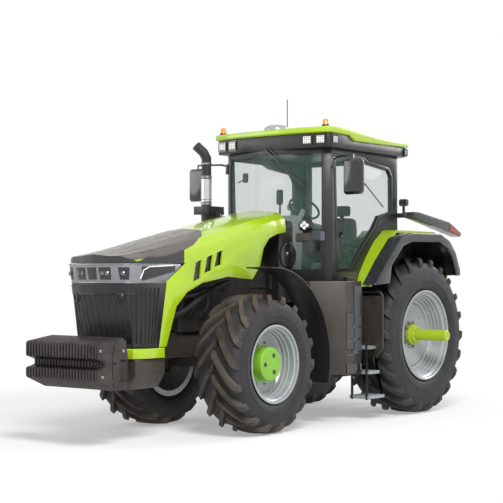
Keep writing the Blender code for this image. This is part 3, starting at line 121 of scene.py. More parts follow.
def surface(name, colour, roughness, spread=0.06, metallic=0.0, coat=0.0, mottle=0.12, patch=2.5,
            grain=400.0, bump=0.0, waves=0.0):
    """A coloured surface with broad mottling, uneven gloss, and a fine grain in its bump."""
    made, tree, shader = shader_of(name)
    shader.inputs["Metallic"].default_value = metallic
    shader.inputs["Coat Weight"].default_value = coat
    shader.inputs["Coat Roughness"].default_value = 0.06
    broad = noise(tree, patch)
    linked(tree, ramp(tree, broad, dimmed(colour, 1 - mottle), dimmed(colour, 1 + mottle)), shader.inputs["Base Color"])
    gloss = noise(tree, patch * 7)
    low, high = max(0.02, roughness - spread), min(1.0, roughness + spread)
    linked(tree, ramp(tree, gloss, low, high), shader.inputs["Roughness"])
    last = None
    for scale, strength, distance in ((grain, bump, 0.001), (6.0, waves, 0.01)):
        if not strength:
            continue
        bumped = tree.nodes.new("ShaderNodeBump")
        bumped.inputs["Strength"].default_value = strength
        bumped.inputs["Distance"].default_value = distance
        linked(tree, noise(tree, scale), bumped.inputs["Height"])
        if last:
            linked(tree, last, bumped.inputs["Normal"])
        last = bumped.outputs["Normal"]
    if last:
        linked(tree, last, shader.inputs["Normal"])
    return made


def glass(name, colour, alpha, roughness=0.03):
    made, tree, shader = shader_of(name)
    shader.inputs["Alpha"].default_value = alpha
    haze = noise(tree, 3.0)
    linked(tree, ramp(tree, haze, dimmed(colour, 0.92), colour), shader.inputs["Base Color"])
    linked(tree, ramp(tree, haze, roughness, roughness + 0.03), shader.inputs["Roughness"])
    return made


def glowing(name, colour, strength):
    made, _, shader = shader_of(name)
    shader.inputs["Base Color"].default_value = (*colour, 1)
    shader.inputs["Emission Color"].default_value = (*colour, 1)
    shader.inputs["Emission Strength"].default_value = strength
    shader.inputs["Roughness"].default_value = 0.15
    return made


LIME = (0.40, 0.60, 0.010)
FINISHES = {
    "green_paint": surface("lime paint", LIME, 0.24, 0.04, coat=0.7, mottle=0.04, patch=1.2, bump=0.02, waves=0.02),
    "hub_green": surface("hub paint", (0.22, 0.52, 0.015), 0.30, 0.06, coat=0.4, mottle=0.08, bump=0.05),
    "bar_green": surface("bar paint", (0.42, 0.58, 0.015), 0.34, 0.06, coat=0.3, mottle=0.10, bump=0.05),
    "dark_plastic": surface("dark plastic", (0.014, 0.014, 0.015), 0.36, 0.06, mottle=0.12, bump=0.06),
    "grey_plastic": surface("grey plastic", (0.030, 0.031, 0.034), 0.26, 0.05, coat=0.2, mottle=0.10, bump=0.03),
    "brown_plastic": surface("brown plastic", (0.050, 0.041, 0.034), 0.40, 0.10, mottle=0.16, bump=0.2),
    "insert_plastic": surface("insert plastic", (0.105, 0.092, 0.080), 0.30, 0.08, coat=0.15, mottle=0.16, bump=0.10),
    "weight_iron": surface("weight iron", (0.046, 0.040, 0.036), 0.40, 0.12, 0.25, mottle=0.30, patch=7, grain=140, bump=0.3),
    "band_grey": surface("band grey", (0.27, 0.28, 0.295), 0.26, 0.04, 0.35, mottle=0.06),
    "panel_blue": surface("panel grey", (0.085, 0.095, 0.108), 0.34, 0.08, mottle=0.12, bump=0.1),
    "tread_dust": surface("dusty tread", (0.062, 0.050, 0.040), 0.70, 0.10, mottle=0.45, patch=5, grain=160, bump=0.4),
    "cast_iron": surface("cast iron", (0.032, 0.028, 0.026), 0.58, 0.12, 0.15, mottle=0.30, patch=9, grain=120, bump=0.35),
    "silver_rim": surface("silver paint", (0.40, 0.42, 0.43), 0.30, 0.03, 0.35, mottle=0.05, patch=1.5),
    "tyre_rubber": surface("tyre rubber", (0.020, 0.020, 0.022), 0.66, 0.10, mottle=0.28, patch=6, grain=220, bump=0.3),
    "tinted_glass": glass("tinted glass", (0.16, 0.30, 0.25), 0.13),
    "seat_cloth": surface("seat cloth", (0.045, 0.048, 0.054), 0.88, 0.05, mottle=0.25, patch=30, grain=900, bump=0.6),
    "amber_lens": glowing("amber lens", (0.95, 0.22, 0.015), 0.35),
    "bright_metal": surface("bright metal", (0.62, 0.63, 0.64), 0.20, 0.06, 1.0, mottle=0.05, bump=0.04),
    "chrome_strip": surface("dark chrome", (0.20, 0.20, 0.21), 0.14, 0.04, 1.0, mottle=0.05),
    "steel": surface("worn steel", (0.30, 0.29, 0.28), 0.40, 0.12, 0.85, mottle=0.2, patch=14, bump=0.1),
    "lamp_lens": glass("lamp lens", (0.85, 0.90, 0.92), 0.45, 0.05),
    "lamp_white": glowing("lamp white", (0.86, 0.88, 0.84), 0.22),
    "black_gloss": surface("black gloss", (0.010, 0.010, 0.012), 0.16, 0.05, coat=0.5, mottle=0.1),
    "red_lens": surface("red lens", (0.42, 0.012, 0.010), 0.18, 0.04, coat=0.6, mottle=0.08),
    "rubber_seal": surface("rubber seal", (0.012, 0.012, 0.012), 0.6, 0.1, mottle=0.2, bump=0.1),
    "console_grey": surface("console plastic", (0.36, 0.41, 0.38), 0.5, 0.06, mottle=0.08, bump=0.12),
}


def keep(name, mesh, finish, body, stands_for=(), sharp=35):
    """Links a finished mesh as a piece of a body, with its finish, and hides the CAD nodes it stands for."""
    mesh.materials.clear()
    mesh.materials.append(FINISHES[finish])
    for face in mesh.polygons:
        face.material_index = 0
    mesh.shade_smooth()
    mesh.set_sharp_from_angle(angle=math.radians(sharp))
    obj = bpy.data.objects.new(name, mesh)
    bpy.context.scene.collection.objects.link(obj)
    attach(obj, body)
    if stands_for:
        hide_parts(*stands_for)
    return obj


def mesh_from(shape, name="shape"):
    mesh = bpy.data.meshes.new(name)
    shape.to_mesh(mesh)
    shape.free()
    return mesh


def merged(meshes, name="merged"):
    shape = bmesh.new()
    for mesh in meshes:
        shape.from_mesh(mesh)
    for mesh in meshes:
        bpy.data.meshes.remove(mesh)
    return mesh_from(shape, name)


def rounded(shape, width, segments=2, angle=40):
    if width:
        sharp = [e for e in shape.edges if len(e.link_faces) == 2 and e.calc_face_angle() > math.radians(angle)]
        bmesh.ops.bevel(shape, geom=sharp, offset=width, segments=segments, affect="EDGES", clamp_overlap=True)
    return shape


def block(low, high, width=0.004):
    shape = bmesh.new()
    bmesh.ops.create_cube(shape, size=1.0)
    for vertex in shape.verts:
        for i in range(3):
            vertex.co[i] = low[i] + (vertex.co[i] + 0.5) * (high[i] - low[i])
    return mesh_from(rounded(shape, width))


def side_block(side, low, high, width=0.004):
    x = sorted((side * low[0], side * high[0]))
    return block((x[0], low[1], low[2]), (x[1], high[1], high[2]), width)


AXES = {"X": (1, 2, 0), "Y": (0, 2, 1), "Z": (0, 1, 2)}


def placed(axis, first, second, along):
    point = [0.0, 0.0, 0.0]
    for i, value in zip(AXES[axis], (first, second, along)):
        point[i] = value
    return Vector(point)


def slab(outline, axis, low, high, width=0.003):
    """An outline in the plane across an axis, made thick from low to high."""
    shape = bmesh.new()
    ends = [[shape.verts.new(placed(axis, a, b, at)) for a, b in outline] for at in (low, high)]
    shape.faces.new(ends[0])
    shape.faces.new(ends[1][::-1])
    count = len(outline)
    for i in range(count):
        j = (i + 1) % count
        shape.faces.new((ends[0][j], ends[0][i], ends[1][i], ends[1][j]))
    bmesh.ops.recalc_face_normals(shape, faces=shape.faces)
    return mesh_from(rounded(shape, width))


def turned(profile, axis, centre, sides=64, side=1):
    """A closed turned shape: (radius, place along the axis) points about a centre line."""
    shape = bmesh.new()
    rings = []
    for radius, along in profile:
        if radius < 1e-6:
            rings.append([shape.verts.new(placed(axis, centre[0], centre[1], side * along))])
            continue
        ring = []
        for i in range(sides):
            angle = 2 * math.pi * i / sides
            ring.append(shape.verts.new(placed(
                axis, centre[0] + radius * math.cos(angle), centre[1] + radius * math.sin(angle), side * along
            )))
        rings.append(ring)
    open_ended = len(rings[0]) == 1 and len(rings[-1]) == 1
    pairs = list(zip(rings, rings[1:])) + ([] if open_ended else [(rings[-1], rings[0])])
    for first, second in pairs:
        for i in range(sides):
            j = (i + 1) % sides
            corners = [first[i % len(first)], second[i % len(second)], second[j % len(second)], first[j % len(first)]]
            unique = list(dict.fromkeys(corners))
            if len(unique) > 2:
                shape.faces.new(unique)
    bmesh.ops.recalc_face_normals(shape, faces=shape.faces)
    return mesh_from(shape)


def pipe(points, radius, sides=10):
    """A round bar along a path, closed at both ends."""
    points = [Vector(point) for point in points]
    shape = bmesh.new()
    rings = []
    across = None
    for i, point in enumerate(points):
        before, after = points[max(i - 1, 0)], points[min(i + 1, len(points) - 1)]
        forward = (after - before).normalized()
        if across is None:
            across = forward.orthogonal().normalized()
        across = (across - forward * across.dot(forward)).normalized()
        up = forward.cross(across)
        ring = [
            shape.verts.new(point + radius * (across * math.cos(a) + up * math.sin(a)))
            for a in (2 * math.pi * k / sides for k in range(sides))
        ]
        rings.append(ring)
    for first, second in zip(rings, rings[1:]):
        for k in range(sides):
            shape.faces.new((first[k], first[(k + 1) % sides], second[(k + 1) % sides], second[k]))
    shape.faces.new(rings[0][::-1])
    shape.faces.new(rings[-1])
    bmesh.ops.recalc_face_normals(shape, faces=shape.faces)
    return mesh_from(shape)


def curved(points, steps=6):
    """Points on a smooth path through the given ones."""
    points = [Vector(point) for point in points]
    line = [points[0]] + points + [points[-1]]
    path = []
    for a, b, c, d in zip(line, line[1:], line[2:], line[3:]):
        for k in range(steps):
            t = k / steps
            path.append(0.5 * (2 * b + (c - a) * t + (2 * a - 5 * b + 4 * c - d) * t * t + (3 * b - a - 3 * c + d) * t ** 3))
    return path + [points[-1]]


def lofted(sections):
    """A closed skin through sections of equal point counts, capped at both ends."""
    shape = bmesh.new()
    rings = [[shape.verts.new(point) for point in section] for section in sections]
    for first, second in zip(rings, rings[1:]):
        for i in range(len(first)):
            j = (i + 1) % len(first)
            shape.faces.new((first[i], first[j], second[j], second[i]))
    shape.faces.new(rings[0][::-1])
    shape.faces.new(rings[-1])
    bmesh.ops.recalc_face_normals(shape, faces=shape.faces)
    return mesh_from(shape)


def joined_copy(node):
    """A CAD node's mesh with its loose triangles welded and its flat faces made whole."""
    shape = bmesh.new()
    shape.from_mesh(NODES[node].data)
    bmesh.ops.remove_doubles(shape, verts=shape.verts, dist=0.00005)
    bmesh.ops.dissolve_limit(shape, angle_limit=math.radians(0.5), verts=shape.verts, edges=shape.edges)
    return shape


SURFACES = {}


def surface_of(node):
    if node not in SURFACES:
        shape = joined_copy(node)
        SURFACES[node] = BVHTree.FromBMesh(shape)
        shape.free()
    return SURFACES[node]


# Each way of looking at a surface: the axes of its two numbers, and the ray's direction
LOOKS = {
    "front": (0, 2, Vector((0, 1, 0)), 1),
    "back": (0, 2, Vector((0, -1, 0)), 1),
    "left": (1, 2, Vector((-1, 0, 0)), 0),
    "right": (1, 2, Vector((1, 0, 0)), 0),
    "top": (0, 1, Vector((0, 0, -1)), 2),
}


def touch(node, look, first, second):
    """Where a ray meets a CAD node's surface, and the normal there."""
    a, b, ray, depth_axis = LOOKS[look]
    start = Vector((0, 0, 0))
    start[a], start[b] = first, second
    start[depth_axis] = -ray[depth_axis] * 20
    hit, normal, _, _ = surface_of(node).ray_cast(start, ray)
    return (hit, normal if normal.dot(ray) < 0 else -normal) if hit else (None, None)


def skin(node, look, corners, thickness, columns=12, rows=12, lift=0.0, width=0.0):
    """A sheet that follows a CAD surface between four corners, listed round it."""
    p, q, r, s = (Vector(corner) for corner in corners)
    shape = bmesh.new()
    grid = []
    ray = LOOKS[look][2]
    for j in range(rows + 1):
        line = []
        for i in range(columns + 1):
            u, v = i / columns, j / rows
            where = (p * (1 - u) + q * u) * (1 - v) + (s * (1 - u) + r * u) * v
            hit, _ = touch(node, look, where.x, where.y)
            line.append(hit)
        grid.append(line)
    for line in grid:
        known = [hit for hit in line if hit]
        if not known:
            shape.free()
            return None
        for i, hit in enumerate(line):
            line[i] = hit or min(known, key=lambda other: abs(line.index(other) - i))
    tops = [[shape.verts.new(hit - ray * (lift + thickness)) for hit in line] for line in grid]
    feet = [[shape.verts.new(hit - ray * (lift - 0.004)) for hit in line] for line in grid]
    for layer in (tops, feet):
        for j in range(rows):
            for i in range(columns):
                shape.faces.new((layer[j][i], layer[j][i + 1], layer[j + 1][i + 1], layer[j + 1][i]))
    border = [(0, i) for i in range(columns)] + [(j, columns) for j in range(rows)]
    border += [(rows, i) for i in range(columns, 0, -1)] + [(j, 0) for j in range(rows, 0, -1)]
    for (j, i), (l, k) in zip(border, border[1:] + border[:1]):
        shape.faces.new((tops[j][i], tops[l][k], feet[l][k], feet[j][i]))
    bmesh.ops.recalc_face_normals(shape, faces=shape.faces)
    return mesh_from(rounded(shape, width, 2, 60))


def line_on(node, look, points, radius, steps=8, lift=0.0, sides=8):
    """A bead along a CAD surface through the given points."""
    path = []
    ray = LOOKS[look][2]
    for (a, b), (c, d) in zip(points, points[1:]):
        for k in range(steps):
            t = k / steps
            hit, _ = touch(node, look, a + (c - a) * t, b + (d - b) * t)
            if hit:
                path.append(hit - ray * lift)
    hit, _ = touch(node, look, *points[-1])
    if hit:
        path.append(hit - ray * lift)
    return pipe(path, radius, sides) if len(path) > 1 else None


# ---------------------------------------------------------------- repeats by Geometry Nodes
def repeat_tree():
    """Copies a shape a number of times, each turned and moved on by a step, as one mesh."""
    tree = bpy.data.node_groups.new("repeated_shape", "GeometryNodeTree")
    for label, kind in (
        ("Geometry", "NodeSocketGeometry"), ("Shape", "NodeSocketObject"), ("Count", "NodeSocketInt"),
        ("Step", "NodeSocketVector"), ("Turn", "NodeSocketVector"), ("Place", "NodeSocketVector"),
        ("Finish", "NodeSocketMaterial"),
    ):
        tree.interface.new_socket(label, in_out="INPUT", socket_type=kind)
    tree.interface.new_socket("Geometry", in_out="OUTPUT", socket_type="NodeSocketGeometry")
    add = tree.nodes.new
    given, out = add("NodeGroupInput"), add("NodeGroupOutput")
    line = add("GeometryNodeMeshLine")
    source = add("GeometryNodeObjectInfo")
    copies = add("GeometryNodeInstanceOnPoints")
    index = add("GeometryNodeInputIndex")
    turn = add("ShaderNodeVectorMath")
    turn.operation = "SCALE"
    real = add("GeometryNodeRealizeInstances")
    moved = add("GeometryNodeTransform")
    coated = add("GeometryNodeSetMaterial")
    for start, end in (
        (given.outputs["Count"], line.inputs["Count"]),
        (given.outputs["Step"], line.inputs["Offset"]),
        (given.outputs["Shape"], source.inputs["Object"]),
        (line.outputs["Mesh"], copies.inputs["Points"]),
        (source.outputs["Geometry"], copies.inputs["Instance"]),
        (given.outputs["Turn"], turn.inputs["Vector"]),
        (index.outputs["Index"], turn.inputs["Scale"]),
        (turn.outputs["Vector"], copies.inputs["Rotation"]),
        (copies.outputs["Instances"], real.inputs["Geometry"]),
        (real.outputs["Geometry"], moved.inputs["Geometry"]),
        (given.outputs["Place"], moved.inputs["Translation"]),
        (moved.outputs["Geometry"], coated.inputs["Geometry"]),
        (given.outputs["Finish"], coated.inputs["Material"]),
        (coated.outputs["Geometry"], out.inputs["Geometry"]),
    ):
        tree.links.new(start, end)
    return tree


REPEAT = repeat_tree()


def repeated(mesh, count, step=(0, 0, 0), turn=(0, 0, 0), place=(0, 0, 0), finish="steel"):
    """The shape repeated in a row (step) or round an axis (turn, in radians), moved to its place."""
    source = bpy.data.objects.new("repeated source", mesh)
    holder = bpy.data.objects.new("repeated holder", bpy.data.meshes.new("holder"))
    for obj in (source, holder):
        bpy.context.scene.collection.objects.link(obj)
    modifier = holder.modifiers.new("repeated", "NODES")
    modifier.node_group = REPEAT
    values = {
        "Shape": source, "Count": count, "Step": step, "Turn": turn, "Place": place, "Finish": FINISHES[finish],
    }
    for socket in REPEAT.interface.items_tree:
        if socket.in_out == "INPUT" and socket.name in values:
            modifier[socket.identifier] = values[socket.name]
    bpy.context.view_layer.update()
    made = bpy.data.meshes.new_from_object(holder.evaluated_get(bpy.context.evaluated_depsgraph_get()))
    for obj in (source, holder):
        bpy.data.objects.remove(obj)
    return made


def bolt_ring(radius, along, count, axle, side, size=0.016, start=0.0):
    """Hexagon bolt heads round a wheel's axle."""
    head = turned([(0, 0.014), (size * 0.8, 0.014), (size, 0.010), (size, -0.006), (0, -0.006)], "X", (0, 0), 6)
    head.transform(Matrix.Translation((side * along, radius * math.cos(start), radius * math.sin(start))))
    return repeated(head, count, turn=(2 * math.pi / count, 0, 0), place=(0, axle[0], axle[1]), finish="steel")


# ---------------------------------------------------------------- CAD pieces given rounded edges
def dressed(node, finish, width=0.005, sharp=30, segments=2, angle=32):
    """The CAD piece with its edges rounded and its curves shaded smooth."""
    shape = joined_copy(node)
    mesh = mesh_from(shape, node)
    obj = bpy.data.objects.new(node + " work", mesh)
    bpy.context.scene.collection.objects.link(obj)
    bevel = obj.modifiers.new("edges", "BEVEL")
    bevel.width = width
    bevel.segments = segments
    bevel.limit_method = "ANGLE"
    bevel.angle_limit = math.radians(angle)
    bevel.use_clamp_overlap = True
    bevel.harden_normals = False
    bpy.context.view_layer.update()
    made = bpy.data.meshes.new_from_object(obj.evaluated_get(bpy.context.evaluated_depsgraph_get()))
    bpy.data.objects.remove(obj)
    return keep(node + "_shell", made, finish, BODY_OF[node], (node,), sharp)


# ---------------------------------------------------------------- wheels
def lug_mesh(side_of_tread, half_width, radius, carcass, sweep, top_width, base_width, centre_x, side):
    """One bar of the tread: from past the middle, out over the shoulder and down the wall."""
    stations = [  # share of half width, share of sweep, top radius, foot radius
        (-0.05, -0.02, radius, carcass - 0.01),
        (0.25, 0.28, radius, carcass - 0.01),
        (0.60, 0.66, radius - 0.003, carcass - 0.012),
        (0.88, 0.93, radius - 0.014, carcass - 0.02),
        (1.00, 1.02, radius - 0.045, carcass - 0.05),
        (1.03, 1.05, radius - 0.105, carcass - 0.11),
    ]
    sections = []
    for share, turn, top, foot in stations:
        x = side * (centre_x + side_of_tread * share * half_width)
        inner_x = x - side * side_of_tread * (0.03 if share > 0.95 else 0.0)
        section = []
        for radial, across, at in ((foot, -base_width, inner_x), (top, -top_width, x), (top, top_width, x),
                                   (foot, base_width, inner_x)):
            angle = sweep * turn + 0.5 * across / radius
            section.append(Vector((at, -radial * math.sin(angle), radial * math.cos(angle))))
        sections.append(section)
    return lofted(sections)


def tyre(node, side, axle, radius, inner_x, outer_x, flange, lug_height, lugs, sweep, top_width, lug_finish):
    """Carcass with moulded wall rings, and its two rows of tread bars."""
    carcass = radius - lug_height
    low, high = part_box(node)
    centre_x = (inner_x + outer_x) / 2
    half = (outer_x - inner_x) / 2
    wall = carcass - flange
    points = [(flange - 0.035, 0.80), (flange + 0.012, 0.86), (flange + 0.03, 0.93), (flange + 0.20 * wall, 0.975),
              (flange + 0.34 * wall, 0.99), (flange + 0.345 * wall, 1.0), (flange + 0.37 * wall, 1.0),
              (flange + 0.375 * wall, 0.99), (flange + 0.62 * wall, 0.975), (flange + 0.80 * wall, 0.94),
              (carcass - 0.030, 0.885), (carcass - 0.008, 0.80), (carcass, 0.60), (carcass + 0.004, 0.0)]
    profile = [(r, centre_x + share * half) for r, share in points]
    profile += [(r, centre_x - share * half) for r, share in reversed(points[:-1])]
    piece = keep(node + "_carcass", turned(profile, "X", axle, 96, side), "tyre_rubber", BODY_OF[node], (node,), 50)
    rows = []
    pitch = 2 * math.pi / lugs
    for which in (1, -1):
        lug = lug_mesh(which, 0.93 * half, radius - 0.0005, carcass, sweep, top_width, top_width * 1.45, centre_x, side)
        if which < 0:
            lug.transform(Matrix.Rotation(pitch / 2, 4, "X"))
        rows.append(repeated(lug, lugs, turn=(pitch, 0, 0), place=(0, axle[0], axle[1]), finish=lug_finish))
    keep(node + "_lugs", merged(rows), lug_finish, BODY_OF[node], sharp=35)
    return piece


def front_wheel(word, side):
    """A silver rim with a ridged barrel, and the green final drive drum in it."""
    body = "front_wheel_" + word
    low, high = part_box("front_wheel_" + word)
    outer = max(abs(low.x), abs(high.x))
    inner = min(abs(low.x), abs(high.x))
    disc = 0.84
    profile = [
        (0.150, disc), (0.300, disc), (0.325, disc + 0.006), (0.345, disc + 0.030), (0.356, disc + 0.034),
        (0.360, disc + 0.070), (0.371, disc + 0.075), (0.375, disc + 0.112), (0.386, disc + 0.118), (0.389, outer - 0.045),
        (0.404, outer - 0.034), (0.410, outer - 0.004), (0.421, outer), (0.434, outer - 0.003), (0.434, outer - 0.012),
        (0.425, outer - 0.014), (0.395, outer - 0.040), (0.395, inner + 0.02), (0.434, inner + 0.012), (0.434, inner),
        (0.372, inner), (0.360, disc - 0.02), (0.290, disc - 0.018), (0.150, disc - 0.018),
    ]
    keep(body + "_rim", turned(profile, "X", FRONT_AXLE, 96, side), "silver_rim", body, sharp=28)
    face = outer - 0.070
    drum = [
        (0, face), (0.178, face), (0.187, face - 0.009), (0.187, disc + 0.030), (0.205, disc + 0.024),
        (0.205, disc + 0.001), (0.150, disc + 0.001), (0.150, disc - 0.04), (0, disc - 0.04),
    ]
    keep(body + "_drum", turned(drum, "X", FRONT_AXLE, 64, side), "hub_green", body, ("front_wheel_" + word,), 28)
    keep(body + "_bolts", bolt_ring(0.240, disc + 0.002, 10, FRONT_AXLE, side, 0.015), "steel", body)
    plug = turned([(0, 0.002), (0.019, 0.002), (0.024, 0.005), (0.026, 0.001), (0.026, -0.004), (0, -0.004)], "X", (0, 0), 20, side)
    plug.transform(Matrix.Translation((side * face, 0.105 * math.sin(0.5), 0.105 * math.cos(0.5))))
    plugs = repeated(plug, 3, turn=(2 * math.pi / 3, 0, 0), place=(0, *FRONT_AXLE), finish="black_gloss")
    keep(body + "_plugs", plugs, "black_gloss", body)


def rear_wheel(word, side):
    """A silver rim stepped outwards in rings, and the green hub on its long axle bar."""
    body = "rear_wheel_" + word
    low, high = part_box("rear_rim_" + word)
    outer = max(abs(low.x), abs(high.x))
    inner = min(abs(low.x), abs(high.x))
    disc = 0.965
    profile = [
        (0.0705, disc), (0.350, disc), (0.375, disc + 0.010), (0.395, disc + 0.010), (0.420, disc + 0.002),
        (0.446, disc + 0.014), (0.456, disc + 0.044), (0.472, disc + 0.050), (0.476, disc + 0.084), (0.490, disc + 0.090),
        (0.494, disc + 0.124), (0.507, disc + 0.130), (0.511, outer - 0.060), (0.536, outer - 0.046), (0.543, outer - 0.008),
        (0.553, outer), (0.571, outer - 0.003), (0.571, outer - 0.012), (0.560, outer - 0.014), (0.525, outer - 0.050),
        (0.525, inner + 0.02), (0.571, inner + 0.012), (0.571, inner), (0.500, inner), (0.480, disc - 0.03),
        (0.420, disc - 0.020), (0.0705, disc - 0.020),
    ]
    keep(body + "_rim", turned(profile, "X", REAR_AXLE, 96, side), "silver_rim", body, ("rear_rim_" + word,), 28)
    studs = [
        bolt_ring(0.158, disc + 0.016, 10, REAR_AXLE, side, 0.015),
        bolt_ring(0.158, disc + 0.002, 10, REAR_AXLE, side, 0.021),
        bolt_ring(0.300, disc - 0.008, 2, REAR_AXLE, side, 0.010, 0.8),
    ]
    keep(body + "_bolts", merged(studs), "steel", body)
    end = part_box("rear_hub_" + word)[1].x if side > 0 else -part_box("rear_hub_" + word)[0].x
    face = disc + 0.001
    hub = [
        (0, end - 0.001), (0.060, end - 0.001), (0.069, end - 0.010), (0.069, face + 0.100), (0.104, face + 0.098),
        (0.112, face + 0.090), (0.112, face + 0.060), (0.130, face + 0.052), (0.134, face + 0.044), (0.134, face + 0.006),
        (0.128, face), (0.069, face), (0.069, end - 0.62), (0, end - 0.62),
    ]
    keep(body + "_hub", turned(hub, "X", REAR_AXLE, 64, side), "bar_green", body, ("rear_hub_" + word,), 28)
    keep(body + "_hub_bolts", bolt_ring(0.090, face + 0.096, 8, REAR_AXLE, side, 0.012), "bar_green", body)


for word, side in SIDES.items():
    tyre("front_tyre_" + word, side, FRONT_AXLE, 0.77, 0.47, 1.08, 0.434, 0.060, 18, math.radians(28), 0.078, "tread_dust")
    tyre("rear_tyre_" + word, side, REAR_AXLE, 0.99, 0.53, 1.215, 0.571, 0.064, 22, math.radians(23), 0.076, "tyre_rubber")
    front_wheel(word, side)
    rear_wheel(word, side)


# ---------------------------------------------------------------- front weights and nose
def weights():
    """The row of hooked weights, its thicker end plates and the rod through them."""
    outline = [
        (-2.225, 0.915), (-2.225, 1.050), (-2.205, 1.068), (-1.85, 1.118), (-1.80, 1.08), (-1.77, 0.925), (-1.77, 0.886),
        (-1.89, 0.886), (-1.89, 0.672), (-1.79, 0.672), (-1.79, 0.578), (-1.96, 0.583), (-2.205, 0.690), (-2.225, 0.705),
        (-2.225, 0.795), (-2.105, 0.822), (-2.105, 0.878),
    ]
    pitch, count = 0.0437, 22
    half, end = pitch * count / 2, 0.525
    plate = slab([(FRONT_Y + y, z) for y, z in outline], "X", -half + 0.004, -half + pitch - 0.004, 0.007)
    keep("weight_plates", repeated(plate, count, step=(pitch, 0, 0), finish="weight_iron"), "weight_iron", "chassis",
         ("front_weights",))
    ends = [slab([(FRONT_Y + y, z) for y, z in outline], "X", *sorted((side * (half + 0.002), side * (end - 0.008))), 0.008)
            for side in (1, -1)]
    for side in (1, -1):
        for y, z, deep, tall in ((-1.93, 1.02, 0.055, 0.030), (-1.93, 0.64, 0.055, 0.026)):
            ends.append(side_block(side, (end - 0.012, FRONT_Y + y - deep, z - tall), (end, FRONT_Y + y + deep, z + tall), 0.004))
        ends.append(side_block(side, (end - 0.012, FRONT_Y - 2.00, 0.70), (end - 0.001, FRONT_Y - 1.95, 0.98), 0.004))
    keep("weight_ends", merged(ends), "weight_iron", "chassis")
    core = block((-half, FRONT_Y - 2.095, 0.70), (half, FRONT_Y - 1.92, 0.95), 0.01)
    keep("weight_core", core, "cast_iron", "chassis")
    studs = []
    for side in (1, -1):
        for y, z in ((-2.17, 0.99), (-2.14, 0.73), (-1.84, 0.98), (-1.97, 0.86)):
            studs.append(turned([(0, end - 0.001), (0.013, end - 0.001), (0.017, end - 0.006), (0.017, half), (0, half)], "X",
                                (FRONT_Y + y, z), 12, side))
    keep("weight_studs", merged(studs), "steel", "chassis")


NOSE_TURN_Y = FRONT_Y - 1.20


def nose_hit(node, turn, z):
    """The nose's skin in a direction round a line inside it: 0 degrees is ahead, and left is positive."""
    out = Vector((math.sin(math.radians(turn)), -math.cos(math.radians(turn)), 0))
    for drop in range(8):
        hit, _, _, _ = surface_of(node).ray_cast(Vector((0, NOSE_TURN_Y, z - 0.007 * drop)) + out * 3, -out)
        if hit is not None and (hit.xy - Vector((0, NOSE_TURN_Y))).dot(out.xy) > 0.2:
            return hit, out
    return None, out


def nose_sheet(node, turns, heights, thickness, lift=0.0, width=0.002):
    """A sheet round the nose between two directions and two heights, each height a value or a (start, end) slope."""
    columns, rows = max(2, int(abs(turns[1] - turns[0]) / 4)), 4
    low, high = heights
    low = low if isinstance(low, tuple) else (low, low)
    high = high if isinstance(high, tuple) else (high, high)
    shape = bmesh.new()
    layers = []
    for depth in (lift + thickness, lift - 0.006):
        layer = []
        for j in range(rows + 1):
            line = []
            for i in range(columns + 1):
                u, v = i / columns, j / rows
                z = (low[0] * (1 - u) + low[1] * u) * (1 - v) + (high[0] * (1 - u) + high[1] * u) * v
                hit, out = nose_hit(node, turns[0] + (turns[1] - turns[0]) * u, z)
                if hit is None:
                    return None
                line.append(shape.verts.new(hit + out * depth))
            layer.append(line)
        layers.append(layer)
    for layer in layers:
        for j in range(rows):
            for i in range(columns):
                shape.faces.new((layer[j][i], layer[j][i + 1], layer[j + 1][i + 1], layer[j + 1][i]))
    border = [(0, i) for i in range(columns)] + [(j, columns) for j in range(rows)]
    border += [(rows, i) for i in range(columns, 0, -1)] + [(j, 0) for j in range(rows, 0, -1)]
    tops, feet = layers
    for (j, i), (l, k) in zip(border, border[1:] + border[:1]):
        shape.faces.new((tops[j][i], tops[l][k], feet[l][k], feet[j][i]))
    bmesh.ops.recalc_face_normals(shape, faces=shape.faces)
    return mesh_from(rounded(shape, width, 2, 60))


def nose_line(node, points, radius, lift=0.0, steps=6, sides=8):
    """A bead round the nose through (direction, height) points."""
    path = []
    for (a, b), (c, d) in zip(points, points[1:]):
        for k in range(steps + 1):
            t = k / steps
            hit, out = nose_hit(node, a + (c - a) * t, b + (d - b) * t)
            if hit is not None and (k < steps or (c, d) == tuple(points[-1])):
                path.append(hit + out * lift)
    return pipe(path, radius, sides) if len(path) > 1 else None


def present(meshes):
    return merged([mesh for mesh in meshes if mesh])


